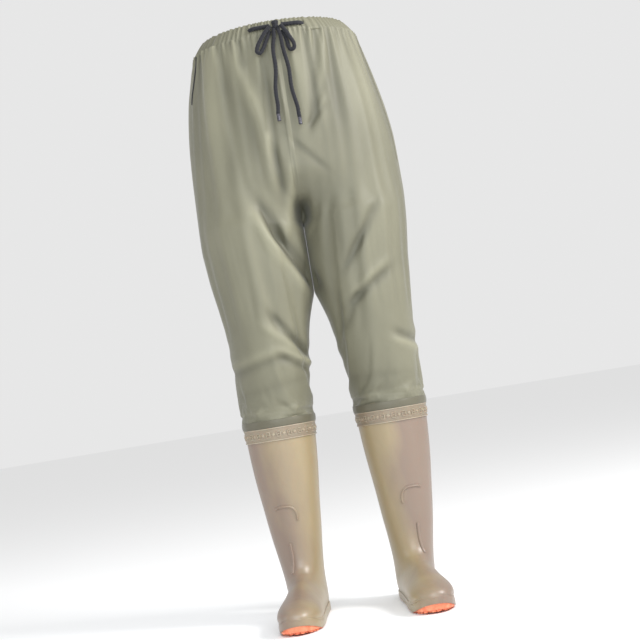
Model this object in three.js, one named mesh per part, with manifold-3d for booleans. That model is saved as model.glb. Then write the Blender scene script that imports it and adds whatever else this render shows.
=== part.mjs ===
// Hip waders: drawstring trousers of coated nylon, joined at the knee to a pair of moulded boots.
// Millimetres, +Z up, toes towards -Y. Heights are measured from the ground while the pieces are
// made, and the whole group is then lowered, so that its origin is the centre of the waist mouth.
import * as THREE from 'three';
import { mergeVertices } from 'three/addons/utils/BufferGeometryUtils.js';
import Module from 'manifold-3d';

const wasm = await Module();
wasm.setup();

// ---- driving sizes ----
const WAIST_HEIGHT = 1105; // top edge of the waist casing
const CASING_HEIGHT = 25; // folded tunnel that holds the elastic and the drawstring
const CASING_WALL = 1.6;
const ELASTIC_THICKNESS = 1.6;
const ELASTIC_CLEARANCE = 1.9; // above and below the elastic in its tunnel
const STRING_DIAMETER = 6.5;
const STRING_SLACK = 2.6; // room beside the string in its tunnel, because the waist leans in
const FABRIC = 2; // wall of the trouser panels
const GAP = 0.3; // between two pieces that touch
const LEG_GAP = 1.2; // between the left and the right leg panels

const HEM_HEIGHT = 380; // where the trouser leg ends on the boot
const HEM_TAPE_HEIGHT = 16;
const HEM_TAPE_THICKNESS = 1.4;
const BAND_HEIGHT = 25; // embossed ring below the hem
const BAND_THICKNESS = 1.2;
const BOOT_WALL = 3;
const LINING = 1.2;
const LINING_BOTTOM = 130;
const INSOLE = 4;
const SOLE_THICKNESS = 8;
const SOLE_LIP = 2.5; // how far the outsole stands out past the upper
const ARCH_RISE = 3; // hollow under the waist of the sole
const HEEL_LENGTH = 78;
const ARCH_LENGTH = 46;
const TOE_SPRING = 13; // lift of the toe's tip
const TOE_GUARD_HEIGHT = 15;
const TOE_GUARD_THICKNESS = 1.8;
const FOOT_LENGTH = 274;
const HEEL_BACK = 84; // Y of the back of the heel
const TOE_OUT = THREE.MathUtils.degToRad( 6 );

const HIP = { y: -21, z: 800 }; // hinge axes, along X
const KNEE = { y: 4, z: 475 };
const CROTCH_DROP = 58; // how far the crotch hangs below the hip's axis
const HIP_FOLD = { aboveFront: 40, aboveBack: 10, belowFront: 38, belowBack: 8 }; // degrees
const KNEE_FOLD = { aboveFront: 4, aboveBack: 48, belowFront: 6, belowBack: 46 };

const STRING_EXIT = 49; // half the distance between the two string holes
const STRING_HOLE = { width: 2 * STRING_DIAMETER + 1, height: STRING_DIAMETER + 2.5 };
const BOW_X = 8; // the bow is tied a little to one side
const KNOT = { width: 3.08 * STRING_DIAMETER, depth: 2.3 * STRING_DIAMETER, height: 2.6 * STRING_DIAMETER };
const WAIST_SAG = 0.3; // how far the flat facets of the waist lie inside its oval
const AGLET = { radius: 0.6 * STRING_DIAMETER, length: 13 };

const FACETS = { pelvis: 26, leg: 14, foot: 12 };
const RING_STEP = 78; // height between two rings of a tube

const WAIST = { wide: 150, deep: 112.5 }; // half sizes of the gathered waist
const SEAT = { wide: 198, deep: 127 }; // half sizes at the widest part of the seat
const THIGH = { wide: 92.3, deep: 103 }; // half sizes of one leg at mid-thigh
const CALF = { wide: 67.2, deep: 70 }; // half sizes of the boot at its top
const ANKLE = { wide: 39, deep: 56 }; // half sizes of the boot at its narrowest
const LEG_APART = 105.3; // distance of the ankle from the middle plane

const crotchHeight = HIP.z - CROTCH_DROP;
const seam = WAIST_HEIGHT - CASING_HEIGHT;
const torso = ( share ) => HIP.z + share * ( WAIST_HEIGHT - HIP.z );
const thighAt = ( share ) => KNEE.z + share * ( crotchHeight - KNEE.z );
const shaftAt = ( share ) => share * HEM_HEIGHT;
const legTop = HIP.z + 80; // the legs run up into the seat

// Sections of the trousers and of a boot: height, centre (x, y), half width and half depth.
const PELVIS = [
	{ z: crotchHeight, x: 0, y: 2, wide: 0.6 * SEAT.wide, deep: 0.38 * SEAT.deep },
	{ z: crotchHeight + 28, x: 0, y: 3, wide: SEAT.wide - 6, deep: SEAT.deep - 23 },
	{ z: HIP.z + 6, x: 0, y: 4, wide: SEAT.wide, deep: SEAT.deep - 6 },
	{ z: torso( 0.32 ), x: 0, y: 6, wide: SEAT.wide - 1, deep: SEAT.deep },
	{ z: torso( 0.62 ), x: 0, y: 4, wide: WAIST.wide + 35, deep: WAIST.deep + 10.5 },
	{ z: torso( 0.77 ), x: 0, y: 2, wide: WAIST.wide + 26, deep: WAIST.deep + 6.5 },
	{ z: seam, x: 0, y: 0, wide: WAIST.wide + 7, deep: WAIST.deep + 2 },
	{ z: WAIST_HEIGHT, x: 0, y: 0, ...WAIST },
];
const LEG = [
	{ z: HEM_HEIGHT, x: 106.5, y: 10, wide: CALF.wide + 2.3, deep: CALF.deep + 2.5 },
	{ z: HEM_HEIGHT + 38, x: 105.5, y: 9, wide: CALF.wide + 3.3, deep: CALF.deep + 5 },
	{ z: KNEE.z, x: 102, y: 7, wide: 73, deep: 80 },
	{ z: thighAt( 0.3 ), x: 100.3, y: 5, wide: THIGH.wide - 12.8, deep: THIGH.deep - 13 },
	{ z: thighAt( 0.47 ), x: 98.4, y: 4, wide: THIGH.wide - 3.8, deep: THIGH.deep - 6 },
	{ z: thighAt( 0.64 ), x: 97.6, y: 4, ...THIGH },
	{ z: crotchHeight - 4, x: 99.8, y: 4, wide: SEAT.wide / 2 - 2.3, deep: THIGH.deep + 10 },
	{ z: HIP.z, x: 100.5, y: 4, wide: SEAT.wide / 2 - 1.5, deep: THIGH.deep + 10 },
	{ z: legTop, x: 98, y: 5, wide: SEAT.wide / 2 - 21, deep: SEAT.deep - 35 },
];
const SHAFT = [
	{ z: 22, x: LEG_APART, y: 28, wide: ANKLE.wide - 5, deep: ANKLE.deep - 2 },
	{ z: shaftAt( 0.2 ), x: LEG_APART, y: 21, ...ANKLE },
	{ z: shaftAt( 0.32 ), x: 106.9, y: 17, wide: ANKLE.wide + 4, deep: ANKLE.deep - 2 },
	{ z: shaftAt( 0.44 ), x: 107, y: 15, wide: ANKLE.wide + 10, deep: ANKLE.deep - 1 },
	{ z: shaftAt( 0.56 ), x: 108, y: 14, wide: CALF.wide - 13, deep: CALF.deep - 12 },
	{ z: shaftAt( 0.74 ), x: 108, y: 12, wide: CALF.wide - 5.5, deep: CALF.deep - 6 },
	{ z: shaftAt( 0.92 ), x: 107, y: 10, wide: CALF.wide - 0.8, deep: CALF.deep - 1 },
	{ z: HEM_HEIGHT, x: 106.5, y: 10, ...CALF },
];
// Sections of the foot from the heel to the toe: share of the length, half width, height above sole
// and how far its middle lies towards the inner side.
const FOOT = [
	{ z: 0, wide: 32, high: 66, inner: 0 },
	{ z: 0.2, wide: 33.5, high: 82, inner: 1 },
	{ z: 0.42, wide: 35.5, high: 86, inner: 2 },
	{ z: 0.6, wide: 40.5, high: 71, inner: 1 },
	{ z: 0.76, wide: 44.5, high: 58, inner: 0 },
	{ z: 0.9, wide: 42.5, high: 50, inner: 1 },
	{ z: 1, wide: 36, high: 43, inner: 3 },
];
const HEEL_ROUND = 0.13; // share of the length over which the heel and the toe round off
const TOE_ROUND = 0.2;

const BIG = 3000; // size of the blocks that pieces are cut with
const RIM = 0.5; // how far a straight end piece reaches into its tube

// ---- colours ----
const looks = {
	fabric: { color: 0x8f8c74, roughness: 0.5 },
	fold: { color: 0x85826c, roughness: 0.5 },
	string: { color: 0x23212d, roughness: 0.8 },
	aglet: { color: 0x77767c, roughness: 0.4 },
	elastic: { color: 0xd8d6cc, roughness: 0.9 },
	boot: { color: 0xb39f7c, roughness: 0.25 },
	band: { color: 0xc4b294, roughness: 0.35 },
	lining: { color: 0xcfc8b4, roughness: 0.95 },
	outsole: { color: 0xef9468, roughness: 0.5 },
};

const waders = new THREE.Group();
waders.position.z = -WAIST_HEIGHT;

// ---- helpers ----
function smoothValue( before, from, to, after, t ) {
	const tangentFrom = ( to - before ) / 2;
	const tangentTo = ( after - from ) / 2;
	const t2 = t * t;
	const t3 = t2 * t;
	return ( 2 * t3 - 3 * t2 + 1 ) * from + ( t3 - 2 * t2 + t ) * tangentFrom
		+ ( 3 * t2 - 2 * t3 ) * to + ( t3 - t2 ) * tangentTo;
}

// The section at z, on smooth curves through the stations.
function sectionAt( stations, z ) {
	const last = stations.length - 1;
	if ( z <= stations[ 0 ].z ) return stations[ 0 ];
	if ( z >= stations[ last ].z ) return stations[ last ];
	const i = stations.findIndex( ( station ) => station.z > z ) - 1;
	const four = [ Math.max( i - 1, 0 ), i, i + 1, Math.min( i + 2, last ) ].map( ( n ) => stations[ n ] );
	const t = ( z - stations[ i ].z ) / ( stations[ i + 1 ].z - stations[ i ].z );
	const section = {};
	for ( const key of Object.keys( stations[ 0 ] ) ) {

		section[ key ] = smoothValue( ...four.map( ( station ) => station[ key ] ), t );

	}

	return section;
}

function reshape( geometry, change ) {
	const position = geometry.getAttribute( 'position' );
	const point = new THREE.Vector3();
	for ( let i = 0; i < position.count; i ++ ) {

		point.fromBufferAttribute( position, i );
		change( point );
		position.setXYZ( i, point.x, point.y, point.z );

	}

	return geometry;
}

function welded( geometry ) {
	geometry.deleteAttribute( 'normal' );
	geometry.deleteAttribute( 'uv' );
	return mergeVertices( geometry, 1e-4 );
}

function solidOf( geometry ) {
	const closed = welded( geometry );
	const vertProperties = new Float32Array( closed.getAttribute( 'position' ).array );
	const triVerts = new Uint32Array( closed.index.array );
	return new wasm.Manifold( new wasm.Mesh( { numProp: 3, vertProperties, triVerts } ) );
}

function geometryOf( solid ) {
	const mesh = solid.getMesh();
	const geometry = new THREE.BufferGeometry();
	geometry.setAttribute( 'position', new THREE.BufferAttribute( mesh.vertProperties, mesh.numProp ) );
	geometry.setIndex( new THREE.BufferAttribute( mesh.triVerts, 1 ) );
	geometry.computeVertexNormals();
	return geometry;
}

function add( name, shape, look ) {
	const geometry = shape.isBufferGeometry ? shape : geometryOf( shape );
	const mesh = new THREE.Mesh( geometry, new THREE.MeshStandardMaterial( looks[ look ] ) );
	mesh.name = name;
	waders.add( mesh );
}

// An upright solid through a list of oval sections, larger than them by outset.
function ovalSolid( stations, bottom, top, outset, facets ) {
	const height = top - bottom;
	const rings = Math.ceil( height / RING_STEP );
	const geometry = new THREE.CylinderGeometry( 1, 1, height, facets, rings );
	geometry.rotateX( Math.PI / 2 ).translate( 0, 0, ( top + bottom ) / 2 );
	reshape( geometry, ( point ) => {

		const section = sectionAt( stations, point.z );
		point.x = section.x + ( section.wide + outset ) * point.x;
		point.y = section.y + ( section.deep + outset ) * point.y;

	} );
	return solidOf( geometry );
}

function block( xRange, yRange, zRange ) {
	const middle = [ xRange, yRange, zRange ].map( ( [ low, high ] ) => ( low + high ) / 2 );
	const size = [ xRange, yRange, zRange ].map( ( [ low, high ] ) => high - low );
	return solidOf( new THREE.BoxGeometry( ...size ).translate( ...middle ) );
}

function slab( bottom, top ) {
	return block( [ - BIG, BIG ], [ - BIG, BIG ], [ bottom, top ] );
}

// All that lies above (direction 1) or below (direction -1) two planes through a hinge axis. The
// planes leave the axis to the front and to the back, at these angles away from level.
function wedge( hinge, direction, frontAngle, backAngle ) {
	const half = ( angle ) => {

		const geometry = new THREE.BoxGeometry( BIG, BIG, BIG );
		geometry.translate( 0, 0, direction * ( BIG / 2 + GAP ) );
		geometry.rotateX( THREE.MathUtils.degToRad( angle ) ).translate( 0, hinge.y, hinge.z );
		return solidOf( geometry );

	};

	return half( - direction * frontAngle ).intersect( half( direction * backAngle ) );
}

// A tube of the given diameter through hand-picked points.
function cord( points, diameter, steps, sides = 8 ) {
	const path = new THREE.CatmullRomCurve3( points.map( ( point ) => new THREE.Vector3( ...point ) ) );
	const outline = [];
	for ( let i = 0; i < sides; i ++ ) {

		const angle = ( 2 * Math.PI * i ) / sides;
		outline.push( new THREE.Vector2( Math.cos( angle ), Math.sin( angle ) ).multiplyScalar( diameter / 2 ) );

	}

	const options = { steps, extrudePath: path, bevelEnabled: false };
	return welded( new THREE.ExtrudeGeometry( new THREE.Shape( outline ), options ) );
}

// ---- waist casing, with its elastic and drawstring ----
const stringMiddle = WAIST_HEIGHT - CASING_HEIGHT / 2;
const stringInset = CASING_WALL + STRING_SLACK + STRING_DIAMETER / 2;
const elasticInset = stringInset + STRING_DIAMETER / 2 + STRING_SLACK;
const casingDepth = elasticInset + ELASTIC_THICKNESS + GAP + CASING_WALL;

function pelvis( outset, bottom = crotchHeight, top = WAIST_HEIGHT ) {
	return ovalSolid( PELVIS, bottom, top, outset, FACETS.pelvis );
}

// A ring round the waist between two distances from the outer surface.
function waistRing( outerInset, innerInset, bottom, top ) {
	const wall = ( inset ) => pelvis( - inset, seam - CASING_WALL, WAIST_HEIGHT + CASING_WALL );
	return wall( outerInset ).subtract( wall( innerInset ) ).intersect( slab( bottom, top ) );
}

function casing() {
	const tunnel = waistRing( CASING_WALL, casingDepth - CASING_WALL, seam - 1, WAIST_HEIGHT - CASING_WALL );
	let ring = waistRing( 0, casingDepth, seam, WAIST_HEIGHT ).subtract( tunnel );
	for ( const x of [ BOW_X - STRING_EXIT, BOW_X + STRING_EXIT ] ) {

		const { width, height } = STRING_HOLE;
		const hole = block( [ x - width / 2, x + width / 2 ], [ - BIG, onWaist( x, casingDepth / 2 )[ 1 ] ],
			[ stringMiddle - height / 2, stringMiddle + height / 2 ] );
		ring = ring.subtract( hole );

	}

	return ring;
}

// The point at x on the front of the waist's oval, this far inside its outer surface.
function onWaist( x, inset, z = stringMiddle ) {
	const section = sectionAt( PELVIS, z );
	const wide = section.wide - inset;
	const deep = section.deep - inset;
	return [ x, section.y - deep * Math.sqrt( 1 - ( x / wide ) ** 2 ), z ];
}

function hiddenString() {
	const section = sectionAt( PELVIS, stringMiddle );
	const wide = section.wide - stringInset;
	const deep = section.deep - stringInset;
	const margin = 0.05; // radians between the string's end and its hole
	const start = Math.asin( ( BOW_X - STRING_EXIT ) / wide ) - margin;
	const end = Math.asin( ( BOW_X + STRING_EXIT ) / wide ) + margin - 2 * Math.PI;
	const points = [];
	const count = 32;
	for ( let i = 0; i <= count; i ++ ) {

		const angle = start + ( ( end - start ) * i ) / count;
		points.push( [ wide * Math.sin( angle ), section.y - deep * Math.cos( angle ), stringMiddle ] );

	}

	return cord( points, STRING_DIAMETER, FACETS.pelvis, 8 );
}

add( 'waist_casing', casing(), 'fabric' );
const elasticWidth = CASING_HEIGHT - 2 * ( CASING_WALL + ELASTIC_CLEARANCE );
const elasticBottom = stringMiddle - elasticWidth / 2;
add( 'waist_elastic', waistRing( elasticInset, elasticInset + ELASTIC_THICKNESS, elasticBottom,
	elasticBottom + elasticWidth ), 'elastic' );
add( 'drawstring_in_casing', hiddenString(), 'string' );

// The free ends: along the casing to the bow, its two loops, and two tails with their tips.
const frontY = onWaist( BOW_X, 0 )[ 1 ];
const stringFront = frontY - STRING_DIAMETER / 2 - GAP - 0.5; // centre line of a string on the casing
const knotY = frontY + WAIST_SAG - GAP - KNOT.depth / 2;
const knotSide = KNOT.width / 2 + GAP;

for ( const side of [ - 1, 1 ] ) {

	const name = side < 0 ? 'left' : 'right';
	const hole = BOW_X + side * STRING_EXIT;
	const outward = - ( STRING_DIAMETER / 2 + GAP + 0.5 );
	const run = [
		onWaist( hole + side * 2, stringInset - 0.5 ),
		onWaist( hole - side * 1, 0.5 ),
		onWaist( hole - side * 7, outward ),
		onWaist( hole - side * 18, outward ),
		onWaist( hole - side * 30, outward ),
		[ BOW_X + side * ( knotSide + 1 ), stringFront, stringMiddle ],
	];
	add( 'drawstring_run_' + name, cord( run, STRING_DIAMETER, 12 ), 'string' );

}

const knot = new THREE.SphereGeometry( 0.5, 12, 8 );
knot.scale( KNOT.width, KNOT.depth, KNOT.height ).translate( BOW_X, knotY, stringMiddle );
add( 'bow_knot', welded( knot ), 'string' );

// Routes of the loops and tails, from the middle of the knot. They are laid for a string of 6.5 mm,
// and a bow in a thicker string is larger all over.
const BOW_SCALE = STRING_DIAMETER / 6.5;
const fromKnot = ( route ) => route.map( ( point ) => {

	const [ x, y, z ] = point.map( ( value ) => BOW_SCALE * value );
	return [ BOW_X + x, knotY + y, stringMiddle + z ];

} );
const loops = {
	left: [ [ - 9.9, - 3.8, - 2.9 ], [ - 20, - 6.3, - 12.5 ], [ - 31, - 7.3, - 26.5 ],
		[ - 39, - 7.3, - 39.5 ], [ - 40.5, - 6.3, - 46.5 ], [ - 36, - 5.3, - 49.5 ],
		[ - 30, - 4.3, - 43.5 ], [ - 23, - 2.8, - 31.5 ], [ - 16, - 0.3, - 18.5 ], [ - 11.5, 1.7, - 10.5 ] ],
	right: [ [ 9.9, - 3.8, - 3.1 ], [ 17, - 6.3, - 15.5 ], [ 24, - 7.3, - 30.5 ], [ 28.5, - 7.3, - 42.5 ],
		[ 27.5, - 6.3, - 50 ], [ 21.5, - 5.3, - 51.5 ], [ 18, - 4.3, - 44.5 ], [ 17, - 3.3, - 34.5 ],
		[ 14.5, - 0.8, - 22.5 ], [ 11.5, 1.7, - 12 ] ],
};
for ( const [ name, route ] of Object.entries( loops ) ) {

	add( 'bow_loop_' + name, cord( fromKnot( route ), STRING_DIAMETER, 18 ), 'string' );

}

const tails = {
	left: [ [ - 4, - 1.3, - 8.1 ], [ - 5.5, - 3.8, - 20.5 ], [ - 9, - 6.3, - 42.5 ], [ - 12, - 7.3, - 72.5 ],
		[ - 16, - 7.8, - 112.5 ], [ - 19, - 8.3, - 147.5 ], [ - 20.5, - 8.8, - 166.5 ] ],
	right: [ [ 4, - 1.3, - 8.1 ], [ 6, - 4.3, - 20.5 ], [ 8.5, - 6.8, - 42.5 ], [ 10, - 7.3, - 72.5 ],
		[ 12.5, - 7.8, - 117.5 ], [ 15, - 8.3, - 157.5 ], [ 17, - 8.8, - 178.5 ] ],
};
for ( const [ name, route ] of Object.entries( tails ) ) {

	const points = fromKnot( route );
	add( 'drawstring_tail_' + name, cord( points, STRING_DIAMETER, 14 ), 'string' );
	const [ above, end ] = points.slice( - 2 );
	const slope = Math.hypot( end[ 0 ] - above[ 0 ], end[ 1 ] - above[ 1 ] ) / ( above[ 2 ] - end[ 2 ] );
	const lean = slope * STRING_DIAMETER / 2; // the lower edge of the string's slanting end
	const tip = new THREE.CylinderGeometry( AGLET.radius, AGLET.radius, AGLET.length, 10 );
	tip.rotateX( Math.PI / 2 ).translate( end[ 0 ], end[ 1 ], end[ 2 ] - lean - GAP - AGLET.length / 2 );
	add( 'aglet_' + name, welded( tip ), 'aglet' );

}

// ---- trousers: one shell, cut along its seams and at the folds ----
function trouserBody( outset ) {
	const lower = outset < 0 ? 1 : 0; // an inner body runs out past the open ends
	let body = pelvis( outset, crotchHeight, seam - GAP ).add( solidCap( outset, lower ) );
	for ( const side of [ - 1, 1 ] ) body = body.add( leg( side, outset, lower ) );
	return body;
}

// The top of an inner body, carried on past the panels' upper edge.
function solidCap( outset, lower ) {
	const top = seam - GAP;
	return pelvis( outset - 0.01, top - RIM, top + lower );
}

function leg( side, outset, lower ) {
	const bottom = HEM_HEIGHT + GAP;
	const tube = ovalSolid( LEG, bottom, legTop, outset, FACETS.leg );
	const foot = ovalSolid( LEG.slice( 0, 1 ), bottom - lower, bottom + RIM, outset - 0.01, FACETS.leg );
	const both = tube.add( foot );
	return side > 0 ? both : both.mirror( [ 1, 0, 0 ] );
}

const shell = trouserBody( 0 ).subtract( trouserBody( - FABRIC ) );
const sideSeamY = 4;
const farSide = ( side ) => ( side > 0 ? [ LEG_GAP / 2, BIG ] : [ - BIG, - LEG_GAP / 2 ] );
const front = [ - BIG, sideSeamY - GAP / 2 ];
const back = [ sideSeamY + GAP / 2, BIG ];
const everywhere = [ - BIG, BIG ];

const aboveHip = wedge( HIP, 1, HIP_FOLD.aboveFront, HIP_FOLD.aboveBack );
const belowHip = wedge( HIP, - 1, HIP_FOLD.belowFront, HIP_FOLD.belowBack );
const aboveKnee = wedge( KNEE, 1, KNEE_FOLD.aboveFront, KNEE_FOLD.aboveBack );
const belowKnee = wedge( KNEE, - 1, KNEE_FOLD.belowFront, KNEE_FOLD.belowBack );

// What is left between two cuts, kept a gap away from the pieces on either side.
function between( whole, upper, lower ) {
	const grown = ( solid, lift ) => solid.translate( [ 0, 0, lift ] );
	return whole.subtract( grown( upper, - GAP ) ).subtract( grown( lower, GAP ) );
}

for ( const side of [ - 1, 1 ] ) {

	const name = side < 0 ? 'left' : 'right';
	const half = shell.intersect( block( farSide( side ), everywhere, everywhere ) );
	const cutOut = ( region, yRange ) => half.intersect( region )
		.intersect( block( everywhere, yRange, everywhere ) );

	add( 'front_panel_' + name, cutOut( aboveHip, front ), 'fabric' );
	add( 'back_panel_' + name, cutOut( aboveHip, back ), 'fabric' );

	const thigh = belowHip.intersect( aboveKnee );
	add( 'thigh_front_' + name, cutOut( thigh, front ), 'fabric' );
	add( 'thigh_back_' + name, cutOut( thigh, back ), 'fabric' );
	add( 'shin_sleeve_' + name, half.intersect( belowKnee ), 'fabric' );

	const kneeZone = half.intersect( slab( HEM_HEIGHT, ( HIP.z + KNEE.z ) / 2 ) );
	const hipZone = half.intersect( slab( ( HIP.z + KNEE.z ) / 2, BIG ) );
	add( 'hip_fold_' + name, between( hipZone, aboveHip, belowHip ), 'fold' );
	add( 'knee_fold_' + name, between( kneeZone, aboveKnee, belowKnee ), 'fold' );

}

// Seam strips, welded inside along the centre front and the centre back.
const STRIP = { width: 14, thickness: 1 };
const strip = pelvis( - FABRIC - GAP, crotchHeight, seam - GAP )
	.subtract( pelvis( - FABRIC - GAP - STRIP.thickness, crotchHeight - 1, seam + 1 ) )
	.intersect( wedge( HIP, 1, HIP_FOLD.aboveFront, HIP_FOLD.aboveBack ) )
	.intersect( slab( crotchHeight, seam - 3 ) );
const stripX = [ - STRIP.width / 2, STRIP.width / 2 ];
add( 'front_seam_strip', strip.intersect( block( stripX, [ - BIG, - 50 ], everywhere ) ), 'fabric' );
add( 'back_seam_strip', strip.intersect( block( stripX, [ 50, BIG ], everywhere ) ), 'fabric' );

// ---- boots ----
function roundEnd( along ) {
	const heel = Math.min( along / HEEL_ROUND, 1 );
	const toe = Math.min( ( 1 - along ) / TOE_ROUND, 1 );
	return Math.sqrt( 1 - ( 1 - heel ) ** 2 ) * Math.sqrt( 1 - ( 1 - toe ) ** 2 );
}

// How far the foot's underside has risen at this distance in front of the ankle.
function toeLift( y ) {
	const tip = HEEL_BACK - FOOT_LENGTH;
	const start = tip + 90;
	return y < start ? TOE_SPRING * ( ( start - y ) / ( start - tip ) ) ** 2 : 0;
}

// A foot-shaped solid on the level `floor`, larger all round by outset. A `height` makes it a plate.
function footSolid( outset, floor, height ) {
	const rings = 11;
	const geometry = new THREE.CylinderGeometry( 1, 1, 1, FACETS.foot, rings );
	const length = FOOT_LENGTH + 2 * outset;
	const least = 0.24; // share of the width that is left at the very ends
	reshape( geometry, ( point ) => {

		// crowd the rings towards both ends
		const along = 0.5 - 0.5 * Math.cos( Math.PI * ( 0.5 - point.y ) );
		const section = sectionAt( FOOT, along );
		const full = least + ( 1 - least ) * roundEnd( along );
		const wide = ( section.wide + outset ) * full;
		const high = height ?? ( section.high + outset ) * ( 0.45 + 0.55 * full );
		const y = HEEL_BACK + outset - along * length;
		const acrossX = Math.sign( point.x ) * Math.abs( point.x ) ** 0.8;
		point.set( acrossX * wide - section.inner, y, floor + toeLift( y ) + Math.max( point.z, 0 ) * high );

	} );
	return solidOf( geometry );
}

// Puts a foot piece under its leg, toes turned out.
function placed( solid ) {
	return solid.rotate( [ 0, 0, THREE.MathUtils.radToDeg( TOE_OUT ) ] )
		.translate( [ LEG_APART, 0, 0 ] );
}

const soleTop = SOLE_THICKNESS + GAP;

function bootBody( outset, top ) {
	const bottom = soleTop - Math.min( outset, 0 );
	const shaft = ovalSolid( SHAFT, soleTop, HEM_HEIGHT, outset, FACETS.leg )
		.intersect( slab( bottom, BIG ) )
		.add( ovalSolid( SHAFT.slice( - 1 ), HEM_HEIGHT - RIM, top, outset - 0.01, FACETS.leg ) );
	return shaft.add( placed( footSolid( outset, bottom ) ) );
}

const shaftTop = HEM_HEIGHT - GAP;
const bootInner = bootBody( - BOOT_WALL, HEM_HEIGHT + 1 );
const bootShell = bootBody( 0, HEM_HEIGHT ).intersect( slab( 0, shaftTop ) ).subtract( bootInner );

function lining() {
	const outer = ovalSolid( SHAFT, soleTop, HEM_HEIGHT, - BOOT_WALL - GAP, FACETS.leg );
	const inner = ovalSolid( SHAFT, soleTop, HEM_HEIGHT, - BOOT_WALL - GAP - LINING, FACETS.leg );
	return outer.subtract( inner ).intersect( slab( LINING_BOTTOM, shaftTop - 2 ) );
}

function insole() {
	return placed( footSolid( - BOOT_WALL - 1.5, soleTop + BOOT_WALL + GAP, INSOLE ) );
}

function outsole() {
	const plate = footSolid( SOLE_LIP, 0, SOLE_THICKNESS );
	const archStart = HEEL_BACK - HEEL_LENGTH;
	const arch = block( everywhere, [ archStart - ARCH_LENGTH, archStart ], [ - 1, ARCH_RISE ] );
	return placed( plate.subtract( arch ) );
}

function toeGuard() {
	const outer = footSolid( TOE_GUARD_THICKNESS, soleTop );
	const inner = footSolid( GAP, soleTop );
	const band = block( everywhere, [ - BIG, HEEL_BACK - FOOT_LENGTH * 0.62 ], everywhere );
	const low = footSolid( 2 * TOE_GUARD_THICKNESS, soleTop + GAP, TOE_GUARD_HEIGHT );
	return placed( outer.subtract( inner ).intersect( low ).intersect( band ) );
}

function legRing( stations, outset, thickness, bottom, top ) {
	const outer = ovalSolid( stations, soleTop, HEM_HEIGHT, outset + thickness, FACETS.leg );
	const inner = ovalSolid( stations, soleTop, HEM_HEIGHT, outset, FACETS.leg );
	return outer.subtract( inner ).intersect( slab( bottom, top ) );
}

const tapeBottom = HEM_HEIGHT - HEM_TAPE_HEIGHT;
const bandTop = tapeBottom - GAP;

const bootPieces = {
	hem_tape: [ legRing( SHAFT, GAP, HEM_TAPE_THICKNESS, tapeBottom, shaftTop ), 'fold' ],
	boot_top_band: [ legRing( SHAFT, GAP, BAND_THICKNESS, bandTop - BAND_HEIGHT, bandTop ), 'band' ],
	boot_upper: [ bootShell, 'boot' ],
	boot_lining: [ lining(), 'lining' ],
	insole: [ insole(), 'lining' ],
	toe_guard: [ toeGuard(), 'boot' ],
	outsole: [ outsole(), 'outsole' ],
};
for ( const [ piece, [ solid, look ] ] of Object.entries( bootPieces ) ) {

	add( piece + '_right', solid, look );
	add( piece + '_left', solid.mirror( [ 1, 0, 0 ] ), look );

}

export default waders;
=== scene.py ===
# %% [markdown]
# # Drawstring fishing waders
# These waders are a pair of baggy coated-nylon trousers, gathered at the waist by elastic and a
# drawstring, and welded below the knee to a pair of moulded boots. Every piece is built here in
# the same space as the CAD frame: metres, Z up, toes towards -Y, origin in the waist opening.

# %% Load the fixed frame
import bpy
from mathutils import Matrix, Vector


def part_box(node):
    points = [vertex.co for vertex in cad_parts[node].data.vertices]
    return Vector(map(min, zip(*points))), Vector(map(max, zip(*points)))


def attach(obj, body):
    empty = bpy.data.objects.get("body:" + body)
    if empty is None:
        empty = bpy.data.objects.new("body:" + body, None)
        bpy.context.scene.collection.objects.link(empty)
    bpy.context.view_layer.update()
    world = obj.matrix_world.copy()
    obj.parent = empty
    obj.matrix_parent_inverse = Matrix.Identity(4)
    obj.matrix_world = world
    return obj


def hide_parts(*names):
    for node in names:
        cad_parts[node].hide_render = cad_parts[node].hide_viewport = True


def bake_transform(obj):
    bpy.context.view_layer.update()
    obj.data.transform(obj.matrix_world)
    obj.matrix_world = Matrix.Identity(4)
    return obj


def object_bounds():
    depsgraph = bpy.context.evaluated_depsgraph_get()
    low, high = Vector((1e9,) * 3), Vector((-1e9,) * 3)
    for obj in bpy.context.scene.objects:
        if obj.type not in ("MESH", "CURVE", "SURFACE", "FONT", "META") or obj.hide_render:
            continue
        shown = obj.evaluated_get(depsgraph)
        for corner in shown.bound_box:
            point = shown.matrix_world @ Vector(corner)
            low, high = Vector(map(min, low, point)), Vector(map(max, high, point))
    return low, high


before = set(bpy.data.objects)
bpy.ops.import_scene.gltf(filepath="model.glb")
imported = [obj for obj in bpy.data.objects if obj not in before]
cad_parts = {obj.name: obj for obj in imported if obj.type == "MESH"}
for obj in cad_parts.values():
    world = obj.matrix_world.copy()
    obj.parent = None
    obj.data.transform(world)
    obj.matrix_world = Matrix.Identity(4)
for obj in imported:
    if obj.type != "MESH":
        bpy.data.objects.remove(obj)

cad_box = [list(corner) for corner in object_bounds()]
print("CAD box", cad_box)

# %% [markdown]
# ## Sizes
# Heights are easiest to read in millimetres above the ground, as on a cutting table, so `up` turns
# such a height into the frame's own Z. The CAD nodes give the heights that everything hangs on:
# the waist seam, the hem and the band under it.

# %% Sizes that come from the frame
import math

import bmesh
import bpy
import numpy as np
from mathutils import Matrix, Vector
from mathutils.bvhtree import BVHTree

MM = 0.001
GROUND = cad_box[0][2]


def up(height):
    """Z in metres of a height in millimetres above the ground."""
    return GROUND + height * MM


def height_of(z):
    """Height in millimetres above the ground of a Z in metres."""
    return (z - GROUND) / MM


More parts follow.
